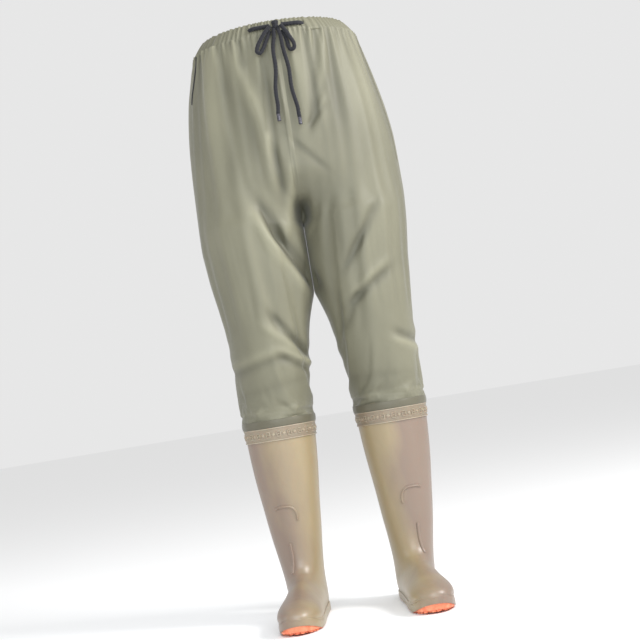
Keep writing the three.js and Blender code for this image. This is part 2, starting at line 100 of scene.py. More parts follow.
WAIST_TOP = height_of(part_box("waist_casing")[1][2])
WAIST_SEAM = height_of(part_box("waist_casing")[0][2])
HEM = height_of(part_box("hem_tape_left")[1][2])
TAPE_BOTTOM = height_of(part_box("hem_tape_left")[0][2])
BAND_BOTTOM = height_of(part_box("boot_top_band_left")[0][2])
SOLE_TOP = height_of(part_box("boot_upper_left")[0][2])
CROTCH = 742.0
SIDES = {"left": -1, "right": 1}
print(f"waist {WAIST_TOP:.0f}, seam {WAIST_SEAM:.0f}, hem {HEM:.0f}, sole {SOLE_TOP:.0f} mm")

# %% [markdown]
# ## A smooth curve through a few stations
# A pattern maker draws an outline through a handful of measured points. `through` does the same:
# it runs a cubic curve through the rows of a small table, with each slope taken from the
# neighbouring rows, and reads it at any place.


# %% A curve through stations
def through(places, values, at):
    """Values on a smooth curve through (places, values), read at the places `at`."""
    places, values = np.asarray(places, float), np.asarray(values, float)
    at = np.clip(np.asarray(at, float), places[0], places[-1])
    slopes = np.gradient(values, places, axis=0)
    low = np.clip(np.searchsorted(places, at, side="right") - 1, 0, len(places) - 2)
    span = places[low + 1] - places[low]
    t = (at - places[low]) / span
    if values.ndim > 1:
        t, span = t[..., None], span[..., None]
    rise = 3 * t**2 - 2 * t**3
    lead = span * (slopes[low] * (t**3 - 2 * t**2 + t) + slopes[low + 1] * (t**3 - t**2))
    return values[low] * (1 - rise) + values[low + 1] * rise + lead


def ease(x):
    """A smooth step from 0 to 1."""
    x = np.clip(x, 0, 1)
    return x * x * (3 - 2 * x)


# %% [markdown]
# ## Camera, floor and light
# The camera stands low in front and is rolled a little, so the waders seem to lean while they
# stand upright in the frame. A wide pale floor and a pale world give soft light from everywhere,
# and three large area lights shape the folds and put a soft, cool glow on the boots.

# %% Camera
camera = bpy.data.objects.new("camera", bpy.data.cameras.new("camera"))
bpy.context.scene.collection.objects.link(camera)
bpy.context.scene.camera = camera
CAMERA_DISTANCE = 2.45
camera.location = (0, -CAMERA_DISTANCE, up(400))
AIM = Vector((0.002, 0, up(550)))
ROLL = math.radians(-9.3)
level = (AIM - camera.location).to_track_quat("-Z", "Y")
camera.rotation_mode = "QUATERNION"
camera.rotation_quaternion = level @ Matrix.Rotation(ROLL, 3, "Z").to_quaternion()
camera.data.sensor_width = 36
camera.data.lens = 72.5
print("camera at", tuple(camera.location))

# %% Floor and world
floor_mesh = bmesh.new()
bmesh.ops.create_circle(floor_mesh, cap_ends=True, segments=64, radius=30)
bmesh.ops.translate(floor_mesh, verts=floor_mesh.verts, vec=(0, 0, GROUND))
floor = bpy.data.objects.new("floor", bpy.data.meshes.new("floor"))
floor_mesh.to_mesh(floor.data)
floor_mesh.free()
bpy.context.scene.collection.objects.link(floor)
paper = bpy.data.materials.new("paper")
paper.use_nodes = True
paper_shader = paper.node_tree.nodes["Principled BSDF"]
paper_shader.inputs["Base Color"].default_value = (0.93, 0.93, 0.93, 1)
paper_shader.inputs["Specular IOR Level"].default_value = 0
floor.data.materials.append(paper)

world = bpy.data.worlds.new("studio")
bpy.context.scene.world = world
world.use_nodes = True
world.node_tree.nodes["Background"].inputs["Color"].default_value = (1, 1, 1, 1)
world.node_tree.nodes["Background"].inputs["Strength"].default_value = 0.8
bpy.context.scene.view_settings.view_transform = "Standard"


# %% Lights
def softbox(name, place, aim, width, height, power, colour=(1, 1, 1)):
    """A rectangular area light that faces a point."""
    light = bpy.data.lights.new(name, "AREA")
    light.shape, light.color = "RECTANGLE", colour
    light.size, light.size_y, light.energy = width, height, power
    lamp = bpy.data.objects.new(name, light)
    bpy.context.scene.collection.objects.link(lamp)
    lamp.location = place
    lamp.rotation_mode = "QUATERNION"
    lamp.rotation_quaternion = (Vector(aim) - Vector(place)).to_track_quat("-Z", "Y")


MIDDLE = (0, 0, up(550))
softbox("key", (2.1, -1.3, up(1900)), MIDDLE, 0.9, 0.9, 85)
softbox("left", (-2.4, -0.3, up(900)), MIDDLE, 0.4, 1.2, 8)
softbox("boot_glow", (-0.1, -1.9, up(1050)), (0, 0, up(120)), 1.5, 0.9, 26, (0.86, 0.93, 1))

# %% [markdown]
# ## Finishes
# Each finish is a small node tree. Colours are mixed from two close tones by noise in the piece's
# own space, so that no surface is one flat colour, and fine structure such as weave, grain or
# braid goes through a Bump node. Numbers that hold all over a surface are set on the shader
# itself.


# %% Helpers for finishes
def linear(red, green, blue):
    """A colour given in the usual 0 to 255 steps, as the shader wants it."""
    steps = np.array([red, green, blue]) / 255
    curve = np.where(steps <= 0.04045, steps / 12.92, ((steps + 0.055) / 1.055) ** 2.4)
    return (*curve.tolist(), 1.0)


class Finish:
    """A material with its shader, and short ways to add nodes to it."""

    def __init__(self, name, **sockets):
        self.material = bpy.data.materials.new(name)
        self.material.use_nodes = True
        self.tree = self.material.node_tree
        self.shader = self.tree.nodes["Principled BSDF"]
        for socket, value in sockets.items():
            self.shader.inputs[socket.replace("_", " ")].default_value = value
        self.place = self.add("ShaderNodeTexCoord")

    def add(self, kind, **settings):
        """A new node with its settings."""
        node = self.tree.nodes.new(kind)
        for key, value in settings.items():
            setattr(node, key, value)
        return node

    def link(self, source, target):
        """A wire between two nodes."""
        self.tree.links.new(source, target)

    def noise(self, scale, detail=3, stretch=(1, 1, 1), space="Object"):
        """Noise in the piece's own space, stretched along its axes."""
        mapping = self.add("ShaderNodeMapping")
        mapping.inputs["Scale"].default_value = stretch
        self.link(self.place.outputs[space], mapping.inputs["Vector"])
        noise = self.add("ShaderNodeTexNoise")
        noise.inputs["Scale"].default_value = scale
        noise.inputs["Detail"].default_value = detail
        self.link(mapping.outputs["Vector"], noise.inputs["Vector"])
        return noise.outputs["Fac"]

    def tones(self, factor, dark, light, low=0.35, high=0.65):
        """Base colour between two tones."""
        ramp = self.add("ShaderNodeValToRGB")
        first, last = ramp.color_ramp.elements
        first.position, first.color = low, linear(*dark)
        last.position, last.color = high, linear(*light)
        self.link(factor, ramp.inputs["Fac"])
        self.link(ramp.outputs["Color"], self.shader.inputs["Base Color"])

    def bump(self, height, depth, under=None):
        """Relief of this depth in metres, on top of an earlier one."""
        bump = self.add("ShaderNodeBump")
        bump.inputs["Distance"].default_value = depth
        self.link(height, bump.inputs["Height"])
        if under:
            self.link(under, bump.inputs["Normal"])
        self.link(bump.outputs["Normal"], self.shader.inputs["Normal"])
        return bump.outputs["Normal"]

    def threads(self, pitch, direction):
        """Bands of one thread each along a UV axis that is measured in metres."""
        wave = self.add("ShaderNodeTexWave", bands_direction=direction)
        wave.inputs["Scale"].default_value = 0.314 / pitch
        self.link(self.place.outputs["UV"], wave.inputs["Vector"])
        return wave.outputs["Fac"]

    def math(self, operation, a, b):
        """The result of an operation on two numbers or outputs."""
        node = self.add("ShaderNodeMath", operation=operation)
        for socket, value in zip(node.inputs, (a, b)):
            if isinstance(value, float):
                socket.default_value = value
            else:
                self.link(value, socket)
        return node.outputs["Value"]


# %% [markdown]
# ### Coated nylon
# Waders of this kind are sewn from nylon that is coated with PVC on the inside. Outside it is a
# tight plain weave with a satin gloss: low sheen, a soft highlight, and tones that drift slowly
# where the coating is thicker. The weave is two sets of thread bands in the cloth's own UV map,
# which is laid out in metres, so the threads keep their size. The attribute that the creases
# below write paints shade and light into the colour: the bottoms of folds and the hollow between
# the thighs are painted darker, and the tops of ridges lighter.

# %% Cloth finishes
THREAD = 0.0011  # distance between threads, in metres


def cloth_finish(name, dark, light, roughness):
    """A satin coated cloth between two tones."""
    cloth = Finish(name, Roughness=roughness, Sheen_Weight=0.15, Sheen_Roughness=0.4,
                   Coat_Weight=0.06, Coat_Roughness=0.35)
    drift = cloth.math("ADD", cloth.math("MULTIPLY", cloth.noise(7, 4, (1, 1, 0.4)), 0.8),
                       cloth.math("MULTIPLY", cloth.noise(900, 2, (1, 1, 1), "UV"), 0.2))
    # Painted shade and light: darker in the valleys of folds and in the hollow between the thighs,
    # lighter on ridges.
    fold = cloth.add("ShaderNodeAttribute", attribute_name="fold")
    cloth.tones(cloth.math("ADD", drift, fold.outputs["Fac"]), dark, light, 0.2, 0.8)
    weave = cloth.math("MULTIPLY", cloth.threads(THREAD, "X"), cloth.threads(THREAD, "Y"))
    cloth.bump(weave, 0.00012, cloth.bump(cloth.noise(60, 3), 0.0004))
    return cloth.material


coated_fabric = cloth_finish("coated_nylon", (77, 75, 59), (123, 120, 99), 0.58)
fabric_inside = cloth_finish("pvc_backing", (150, 147, 128), (166, 163, 146), 0.5)
hem_finish = cloth_finish("hem_cloth", (76, 72, 57), (90, 86, 68), 0.5)

# %% [markdown]
# ### Boot PVC, band, sole, lining
# The boots are moulded in a soft, slightly see-through PVC: a warm tan with a clear, glossy skin.
# Light goes a little way in, so the shader gets some subsurface, and a coat gives the wet
# highlight over a softer base. The outer side of each boot is painted a shade darker and its inner
# side a shade lighter: painted shade and light across the boot. The sole is an orange compound
# with a duller surface, and the lining is knitted polyester.

# %% Moulded finishes
BOOT_MIDDLE = 0.107  # how far a boot stands from the middle of the waders, in metres
BOOT_HALF = 0.045  # half the width of a boot, in metres


def moulded_finish(name, dark, light, roughness, coat, drift_scale=9, grain=0.00006, sides=0.0):
    """A moulded plastic between two tones. `sides` paints shade on the outer side of each boot
    and light on its inner side.
    """
    pvc = Finish(name, Roughness=roughness, Coat_Weight=coat, Coat_Roughness=0.46, IOR=1.5,
                 Subsurface_Weight=0.08, Subsurface_Scale=0.004)
    drift = pvc.noise(drift_scale, 4, (1, 1, 0.5))
    # Painted shade and light: darker towards each boot's outer side, lighter towards its inner
    # side.
    if sides:
        apart = pvc.add("ShaderNodeSeparateXYZ")
        pvc.link(pvc.place.outputs["Object"], apart.inputs["Vector"])
        off = pvc.math("ABSOLUTE", apart.outputs["X"], 0.0)
        off = pvc.math("SUBTRACT", off, BOOT_MIDDLE)
        drift = pvc.math("SUBTRACT", drift, pvc.math("MULTIPLY", off, sides / BOOT_HALF))
    pvc.tones(drift, dark, light)
    pvc.bump(pvc.noise(700, 2), grain, pvc.bump(pvc.noise(38, 3), 0.0009))
    return pvc.material


# sides=0.3 paints shade on each boot's outer side and light on its inner side
boot_pvc = moulded_finish("boot_pvc_clear_tan", (117, 99, 85), (139, 123, 93), 0.4, 0.5,
                          sides=0.3)
band_pvc = moulded_finish("boot_band_pvc", (114, 101, 84), (127, 114, 95), 0.45, 0.25)
relief_pvc = moulded_finish("boot_relief_pvc", (136, 123, 104), (149, 136, 116), 0.42, 0.3)
sole_rubber = moulded_finish("sole_rubber", (212, 108, 74), (232, 142, 106), 0.6, 0.05, 90, 0.0006)


def knit_finish(name, dark, light, pitch):
    """A dull knit whose loops lie `pitch` metres apart."""
    knit = Finish(name, Roughness=0.95, Sheen_Weight=0.3)
    loops = knit.noise(1 / pitch, 1, (1, 1, 0.6))
    knit.tones(loops, dark, light)
    knit.bump(loops, 0.0005)
    return knit.material


lining_knit = knit_finish("lining_knit", (196, 188, 168), (214, 208, 192), 0.0016)
elastic_knit = knit_finish("elastic_knit", (205, 203, 195), (226, 224, 216), 0.0012)

# %% [markdown]
# ### Drawstring and its tips
# The string is braided polyester, nearly black with a blue cast, and the tips are crimped metal.

# %% String finishes
string_finish = Finish("braided_string", Roughness=0.85, Sheen_Weight=0.08, Sheen_Roughness=0.5)
string_finish.tones(string_finish.noise(1400, 3), (6, 6, 11), (19, 18, 27))
string_finish.bump(string_finish.noise(2600, 2), 0.0003)
drawstring_braid = string_finish.material

metal = Finish("tip_metal", Metallic=0.6, Roughness=0.5)
metal.tones(metal.noise(400, 2), (56, 54, 60), (86, 84, 90))
tip_metal = metal.material

# %% [markdown]
# ## Finishing a piece
# A bmesh becomes a Blender object that sits at the origin, rides on one of the frame's bodies and
# hides the CAD nodes it stands for. Edges sharper than an angle stay crisp. Where a piece has
# several parts, they are first put into one bmesh.


# %% Bmesh to piece
def make_piece(name, shape, finish, body=None, stands_for=(), sharp=40):
    """Turns a bmesh into a named piece. A piece without a body is not attached to one."""
    mesh = bpy.data.meshes.new(name)
    shape.to_mesh(mesh)
    shape.free()
    mesh.shade_smooth()
    mesh.set_sharp_from_angle(angle=math.radians(sharp))
    piece = bpy.data.objects.new(name, mesh)
    bpy.context.scene.collection.objects.link(piece)
    for material in finish if isinstance(finish, tuple) else (finish,):
        mesh.materials.append(material)
    if body:
        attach(piece, body)
    if stands_for:
        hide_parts(*stands_for)
    print(f"{name}: {len(mesh.polygons)} faces")
    return piece


def put_in(whole, part):
    """Adds a bmesh to another one, and lets go of it."""
    mesh = bpy.data.meshes.new("part")
    part.to_mesh(mesh)
    part.free()
    whole.from_mesh(mesh)
    bpy.data.meshes.remove(mesh)


def reshape(shape, place):
    """Moves every vertex of a bmesh to where `place` puts an array of points."""
    points = np.array([vertex.co for vertex in shape.verts])
    for vertex, point in zip(shape.verts, place(points)):
        vertex.co = point


# %% [markdown]
# ## The drawstring
# The string runs out of two buttonholes in the casing, along the casing to a bow, and hangs down
# in two loops and two tails. It is limp, so every stretch hangs. A tube mesh is made from a grid:
# one side runs round the string and the other along it. A braid is two sets of helical strands
# that cross over each other, so the radius swells where a strand lies on top.

# %% Routes of the string, in millimetres: x, y, height above the ground
BOW_X = 8
STRING = 6.5
ROUTES = {
    "drawstring_run_left": [
        (-43, -101.5, 1092.5), (-40, -108.7, 1092.5), (-34, -114.5, 1092.5),
        (-23, -116, 1092.5), (-11, -117, 1092.5), (-3.3, -117.1, 1092.5)],
    "drawstring_run_right": [
        (59, -97.1, 1092.5), (56, -104.8, 1092.5), (50, -111.1, 1092.5),
        (39, -113.6, 1092.5), (27, -115.5, 1092.5), (19.3, -117.1, 1092.5)],
    "bow_loop_left": [
        (-1.9, -124.4, 1089.6), (-12, -126.9, 1080), (-23, -127.9, 1066), (-31, -127.9, 1053),
        (-32.5, -126.9, 1046), (-28, -125.9, 1043), (-22, -124.9, 1049), (-15, -123.4, 1061),
        (-8, -120.9, 1074), (-3.5, -118.9, 1082)],
    "bow_loop_right": [
        (17.9, -124.4, 1089.4), (25, -126.9, 1077), (32, -127.9, 1062), (36.5, -127.9, 1050),
        (35.5, -126.9, 1042.5), (29.5, -125.9, 1041), (26, -124.9, 1048), (25, -123.9, 1058),
        (22.5, -121.4, 1070), (19.5, -118.9, 1080.5)],
    "drawstring_tail_left": [
        (4, -121.9, 1084.4), (2.5, -124.4, 1072), (-1, -126.9, 1050), (-4, -127.9, 1020),
        (-8, -128.4, 980), (-11, -128.9, 945), (-12.5, -129.4, 926)],
    "drawstring_tail_right": [
        (12, -121.9, 1084.4), (14, -124.9, 1072), (16.5, -127.4, 1050), (18, -127.9, 1020),
        (20.5, -128.4, 975), (23, -128.9, 935), (25, -129.4, 914)],
}


# %% A braided string
def smooth_path(points, step):
    """Points a fixed step apart on a smooth curve through the route's points, in metres."""
    points = np.array([(x * MM, y * MM, up(height)) for x, y, height in points])
    chords = np.concatenate([[0], np.cumsum(np.linalg.norm(np.diff(points, axis=0), axis=1))])
    fine = through(chords, points, np.linspace(0, chords[-1], 400))
    run = np.concatenate([[0], np.cumsum(np.linalg.norm(np.diff(fine, axis=0), axis=1))])
    even = np.linspace(0, run[-1], max(int(run[-1] / step), 4) + 1)
    return np.stack([np.interp(even, run, fine[:, axis]) for axis in range(3)], axis=1), run[-1]


def path_frames(path):
    """Two directions across a path at each of its points, which turn as little as they can."""
    along = np.gradient(path, axis=0)
    along /= np.linalg.norm(along, axis=1)[:, None]
    side = np.cross(along[0], (0.3, 0.9, 0.2))
    across = []
    for direction in along:
        side = side - direction * (side @ direction)
        side /= np.linalg.norm(side)
        across.append(side)
    across = np.array(across)
    return across, np.cross(along, across)


def string_tube(path, diameter, sides=20, plaits=4, turn=520):
    """A closed braided tube. `turn` is how fast the strands wind, in radians a metre."""
    tube = bmesh.new()
    rows = len(path) - 1
    bmesh.ops.create_grid(tube, x_segments=sides, y_segments=rows, size=0.5)
    first, second = path_frames(path)
    run = np.concatenate([[0], np.cumsum(np.linalg.norm(np.diff(path, axis=0), axis=1))])

    def wrap(points):
        angle = 2 * np.pi * (points[:, 0] + 0.5)
        row = np.rint((points[:, 1] + 0.5) * rows).astype(int)
        over = np.cos(plaits * angle + turn * run[row]) * np.cos(plaits * angle - turn * run[row])
        radius = diameter / 2 * (1.12 + 0.1 * over)
        out = first[row] * np.cos(angle)[:, None] + second[row] * np.sin(angle)[:, None]
        return path[row] + out * radius[:, None]

    reshape(tube, wrap)
    bmesh.ops.remove_doubles(tube, verts=tube.verts, dist=1e-6)
    bmesh.ops.holes_fill(tube, edges=[edge for edge in tube.edges if edge.is_boundary], sides=0)
    bmesh.ops.recalc_face_normals(tube, faces=tube.faces)
    return tube


# %% Runs, loops and tails
strings = {}
paths = {}
for name, route in ROUTES.items():
    path, length = smooth_path(route, 0.0009)
    if "tail" in name:  # a used string keeps a slight wave
        run = np.linspace(0, length, len(path))
        path[:, 0] += 1.3 * MM * np.sin(run / 0.0125 + BOW_X) * ease(run / 0.03) * ease(
            (length - run) / 0.02)
    paths[name] = path, length
    strings[name] = make_piece(name + "_braided", string_tube(path, STRING * MM),
                               drawstring_braid, "waist", (name,), sharp=180)
    print(f"  {length / MM:.0f} mm long")

# %% [markdown]
# ### The knot and the tips
# A bow's knot is the string passing round itself, so it is made of three short closed turns of
# the same braid that cross in front, around the strands that pass through. The tips are turned
# with a spin: a thin tube with two crimped grooves.


# %% Knot
def knot_turn(centre, lean, radius_out, radius_up, sides=60):
    """Points of one closed turn of string round the X axis, leaning to one side."""
    angles = np.linspace(0, 2 * np.pi, sides + 1)
    x = centre[0] * MM + lean * MM * np.sin(angles)
    y = centre[1] * MM - radius_out * MM * np.cos(angles)
    z = up(centre[2]) + radius_up * MM * np.sin(angles)
    return np.stack([x, y, z], axis=1)


knot_centre = (BOW_X, -119.7, 1092.5)
knot_shape = bmesh.new()
for lean, radius_out, radius_up in ((3.6, 4.1, 5.4), (-3.6, 4.6, 5.2), (0.4, 5.0, 5.8)):
    turn_path = knot_turn(knot_centre, lean, radius_out, radius_up)
    put_in(knot_shape, string_tube(turn_path, 5.6 * MM, sides=16))
knot = make_piece("bow_knot_braided", knot_shape, drawstring_braid, "waist",
                  ("bow_knot",), sharp=180)


# %% Tips
def spun(profile, steps=32):
    """A body of revolution about Z from a list of (radius, height) in metres."""
    shape = bmesh.new()
    points = [shape.verts.new((radius, 0, height)) for radius, height in profile]
    edges = [shape.edges.new(pair) for pair in zip(points, points[1:])]
    bmesh.ops.spin(shape, geom=points + edges, cent=(0, 0, 0), axis=(0, 0, 1),
                   angle=2 * math.pi, steps=steps, use_merge=True)
    bmesh.ops.remove_doubles(shape, verts=shape.verts, dist=1e-6)
    bmesh.ops.recalc_face_normals(shape, faces=shape.faces)
    return shape


for name in SIDES:
    low, high = (Vector(corner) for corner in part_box("aglet_" + name))
    radius, length = (high.x - low.x) / 2, high.z - low.z
    groove, lip = 0.86 * radius, 0.3 * MM
    outline = [(0, 0), (0.8 * radius, 0), (radius - lip, lip), (radius - lip, 0.26 * length),
               (groove, 0.32 * length), (radius - lip, 0.38 * length),
               (radius - lip, 0.62 * length), (groove, 0.68 * length),
               (radius - lip, 0.74 * length), (radius - lip, 0.93 * length),
               (radius, 0.95 * length), (radius, length - lip), (radius - lip, length),
               (0, length)]
    tip = spun(outline)
    middle = (low + high) / 2
    bmesh.ops.translate(tip, verts=tip.verts, vec=(middle.x, middle.y, low.z))
    make_piece("aglet_turned_" + name, tip, tip_metal, "waist",
                            ("aglet_" + name,), sharp=50)

for name, string in strings.items():
    path, length = paths[name]
    side = name.rsplit("_", 1)[1]

# %% [markdown]
# ## The trousers
# The real trousers are four flat panels sewn into two legs and then along the rise, from the
# front of the waist through the crotch to the back. The same idea works with grids: each leg is
# one grid whose columns go from the inside of the leg round the front, the outside and the back.
# Below the crotch the first and last columns meet in the inside leg seam. Above it they open out
# to the middle of the front and of the back, where they meet the other leg.

# %% Stations of the trousers, in millimetres above the ground
# height, inner edge, outer edge, middle (y), half depth
LEG = np.array([
    (380, 37.0, 176, 10, 72.5),
    (418, 35.0, 176.5, 9, 75),
    (470, 29.0, 175, 7, 80),
    (512, 24.7, 177, 6, 85),
    (555, 18.5, 180, 5, 91),
    (595, 6.5, 186, 4, 98),
    (620, -2.0, 188.5, 4, 101),
    (645, -4.0, 190, 4, 103.5),
    (692, -4.0, 193, 4, 109),
    (742, -3.0, 197, 4, 113),
    (850, 0.0, 198, 4, 118)])
# height, half width, middle (y), half depth
SEAT = np.array([
    (742, 197, 4, 116),
    (806, 198, 4, 121),
    (897, 197, 6, 127),
    (943, 192, 5, 126),
    (988, 185, 4, 123),
    (1034, 175, 2, 119),
    (1060, 167, 1, 116.5),
    (1080, 157.5, 0, 114.5)])
TOUCH = 0.15  # half the gap where the thighs touch
RISE = 90  # height over which the crotch opens into the seat
COLUMNS, ROWS = 100, 104  # of one leg's cloth


def trouser_point(share, height, side):
    """Where the cloth lies: share of the way round a leg from its inner side, height, side."""
    _, inner, outer, middle, deep = through(LEG[:, 0], LEG, height).T
    inner = np.where(height < CROTCH, inner, 0)
    wide = (outer - inner) / 2
    x = (outer + inner) / 2 - wide * np.cos(2 * np.pi * share)
    x = np.where(height < CROTCH, np.maximum(x, TOUCH), x)
    y = middle - deep * np.sin(2 * np.pi * share)
    _, half, seat_middle, seat_deep = through(SEAT[:, 0], SEAT, height).T
    seat_x = half * np.sin(np.pi * share)
    seat_y = seat_middle - seat_deep * np.cos(np.pi * share)
    opened = np.sin(np.pi / 2 * np.clip((height - CROTCH) / RISE, 0, 1))
    x = x * (1 - opened) + seat_x * opened
    y = y * (1 - opened) + seat_y * opened
    return np.stack([side * x * MM, y * MM, GROUND + height * MM], axis=1)


# %% The cloth of both legs
SEAM_TOP = WAIST_SEAM + 2  # the cloth reaches a little way into the casing
HEM_END = TAPE_BOTTOM + 3  # and into the tape at the hem


def leg_cloth(side):
    """One leg as a grid, with a UV map in metres: round the leg, and up it."""
    leg = bmesh.new()
    leg.loops.layers.uv.new("cloth")
    bmesh.ops.create_grid(leg, x_segments=COLUMNS, y_segments=ROWS, size=0.5, calc_uvs=True)
    uv = leg.loops.layers.uv.active
    for face in leg.faces:
        for loop in face.loops:
            loop[uv].uv = (side * (0.1 + 0.55 * loop[uv].uv.x), 0.73 * loop[uv].uv.y)
    reshape(leg, lambda grid: trouser_point(
        grid[:, 0] + 0.5, HEM_END + (grid[:, 1] + 0.5) * (SEAM_TOP - HEM_END), side))
    return leg


cloth_shape = bmesh.new()
for side in SIDES.values():
    put_in(cloth_shape, leg_cloth(side))
bmesh.ops.remove_doubles(cloth_shape, verts=cloth_shape.verts, dist=2e-5)
bmesh.ops.recalc_face_normals(cloth_shape, faces=cloth_shape.faces)
loose_ends = sum(edge.is_boundary for edge in cloth_shape.edges)
print(f"cloth: {len(cloth_shape.verts)} vertices, {loose_ends} edges on its waist and two hems")
cloth_mesh = bpy.data.meshes.new("cloth")
cloth_shape.to_mesh(cloth_mesh)
cloth_shape.free()
rest_points = np.empty(len(cloth_mesh.vertices) * 3)
cloth_mesh.vertices.foreach_get("co", rest_points)
rest_points = rest_points.reshape(-1, 3)

# %% [markdown]
# ### Letting the cloth fall
# Baggy trousers are cut wider than the body and longer than the leg, and the extra cloth is what
# makes the folds. Blender's Cloth can be told so: its rest shape is a second shape key, which
# here is the cut, a little longer and much wider at the waist than the space it hangs in. Held at
# the waist and the hems, the cloth then buckles into gathers that fade down from the casing, and
# into soft creases at the knees. A loose hold on every point keeps the trousers' outline.

# %% Cloth simulation
CUT_LONGER = 1.015
CUT_WIDER = {1080: 1.22, 1050: 1.14, 1000: 1.08, 900: 1.035, 800: 1.02, 640: 1.025, 380: 1.02}
HOLD = 0.12
FRAMES = 24


def cut_shape(points):
    """The flat cut's size, given as the worn shape made longer and wider by height."""
    heights = height_of(points[:, 2])
    order = sorted(CUT_WIDER)
    wider = np.interp(heights, order, [CUT_WIDER[key] for key in order])
    cut = points.copy()
    cut[:, 0] *= wider
    cut[:, 1] *= wider
    cut[:, 2] = up(HEM) + (points[:, 2] - up(HEM)) * CUT_LONGER
    return cut


def fall(mesh, points):
    """Runs the cloth and returns where its points come to lie."""
    cloth = bpy.data.objects.new("cloth", mesh)
    bpy.context.scene.collection.objects.link(cloth)
    cloth.shape_key_add(name="worn")
    cut = cloth.shape_key_add(name="cut")
    cut.data.foreach_set("co", cut_shape(points).ravel())
    heights = height_of(points[:, 2])
    group = cloth.vertex_groups.new(name="held")
    for index, height in enumerate(heights):
        held = height > SEAM_TOP - 6 or height < TAPE_BOTTOM + 12
        group.add([index], 1.0 if held else HOLD, "REPLACE")
    settings = cloth.modifiers.new("cloth", "CLOTH").settings
    settings.quality = 6
    settings.mass = 0.25
    settings.tension_stiffness = settings.compression_stiffness = 25
    settings.shear_stiffness = 8
    settings.bending_stiffness = 1.2
    settings.air_damping = 2
    settings.vertex_group_mass = "held"
    settings.pin_stiffness = 1.0
    settings.rest_shape_key = cut
    cloth.modifiers["cloth"].collision_settings.use_collision = False
    scene = bpy.context.scene
    for number in range(1, FRAMES + 1):
        scene.frame_set(number)
    fallen = cloth.evaluated_get(bpy.context.evaluated_depsgraph_get())
    moved = np.empty(len(points) * 3)
    fallen.data.vertices.foreach_get("co", moved)
    scene.frame_set(1)
    bpy.data.objects.remove(cloth)
    return moved.reshape(-1, 3)


# %% [markdown]
# ### Taming and refining the cloth
# A simulation wanders further than a pattern maker would like, so the move of every point is
# capped softly: small moves stay as they are, and large ones level off at the cap. The cloth also
# draws in a little while it falls, so it is let out again by a few hundredths at the hips and
# thighs. Each leg is kept on its own side of the middle. Then one level of subdivision makes the
# cloth fine enough for the gathers under the casing, which are narrower than a cell of the
# simulated cloth.

# %% Worn cloth
CAP = 11 * MM
# heights, and how much wider the cloth is let out there
LOOSER = {"left": ((560, 600, 650, 710, 768, 884, 1000, 1060, 1080),
                   (0, 0.012, 0.04, 0.058, 0.045, 0.03, 0.035, 0.018, 0)),
          "right": ((590, 650, 710, 768, 884, 940, 1000, 1060, 1080),
                    (0, 0.01, 0.038, 0.052, 0.052, 0.045, 0.03, 0.014, 0))}
worn = rest_points.copy()
moved = fall(cloth_mesh, rest_points) - rest_points
far = np.linalg.norm(moved, axis=1)[:, None]
print(f"cloth moved {far.mean() / MM:.1f} mm on average, {far.max() / MM:.1f} mm at most")
moved *= CAP * np.tanh(far / CAP) / np.maximum(far, 1e-9)
moved[:, 0] *= ease(np.abs(rest_points[:, 0]) / (45 * MM))  # the legs keep touching
worn += moved
let_out = [np.interp(height_of(worn[:, 2]), *LOOSER[name]) for name in SIDES]
worn[:, 0] *= 1 + np.where(worn[:, 0] < 0, *let_out)
side_of = np.sign(np.round(rest_points[:, 0], 6))
near_middle = (side_of != 0) & (worn[:, 0] * side_of < TOUCH * MM)
worn[near_middle, 0] = side_of[near_middle] * TOUCH * MM
worn[side_of == 0, 0] = 0


def refined(mesh, levels):
    """A mesh after Subdivision Surface."""
    holder = bpy.data.objects.new("refine", mesh)
    bpy.context.scene.collection.objects.link(holder)
    modifier = holder.modifiers.new("refine", "SUBSURF")
    modifier.levels = modifier.render_levels = levels
    graph = bpy.context.evaluated_depsgraph_get()
    fine = bpy.data.meshes.new_from_object(holder.evaluated_get(graph))
    bpy.data.objects.remove(holder)
    return fine


plain = bpy.data.meshes.new("worn_cloth")
plain_shape = bmesh.new()
plain_shape.from_mesh(cloth_mesh)
for layer in list(plain_shape.verts.layers.shape.values()):
    plain_shape.verts.layers.shape.remove(layer)
for vertex, point in zip(plain_shape.verts, worn):
    vertex.co = point
plain_shape.to_mesh(plain)
plain_shape.free()
fine_cloth = refined(plain, 1)
print(f"fine cloth: {len(fine_cloth.vertices)} vertices")


# %% [markdown]
# ### Gathers, folds and creases
# Elastic shortens the waist to three quarters of the cloth's width. The extra stands up in small
# puckers, about ten millimetres apart at the casing, which join in pairs and die out further
# down. Four sets of waves round the waist, each wider and longer than the last, give that.
# Creases across the thighs and at the knees come from bending, and each one is a soft ridge or
# valley along a line, laid where such trousers fold. Between the thighs the front of the cloth
# sinks into a small hollow.

# %% Relief of the cloth
def drifted(angle):
    """The angle with an uneven drift, so that no two gathers are alike."""
    return (angle + 0.034 * np.sin(5 * angle + 1) + 0.018 * np.sin(11 * angle + 2)
            + 0.009 * np.sin(23 * angle + 0.5))


def puckers(angle, drop):
    """Height in metres of the gathers at an angle round the waist, this far below the seam."""
    uneven = drifted(angle)
    strength = 0.9 + 0.35 * np.sin(7 * angle + 0.6) * np.sin(3 * angle + 2.2)
    small = 2.1 * np.cos(86 * uneven) * np.exp(-drop / 15)
    middle = 3.3 * np.cos(41 * uneven + 1.3) * np.exp(-drop / 34) * (1 - np.exp(-(drop + 6) / 12))
    wide = 3.1 * np.cos(19 * uneven + 0.4) * np.exp(-drop / 95) * (1 - np.exp(-(drop + 4) / 28))
    broad = 2.5 * np.cos(9 * uneven + 2.6) * np.exp(-((drop - 120) / 95) ** 2)
    return strength * (small + middle + wide + broad) * MM


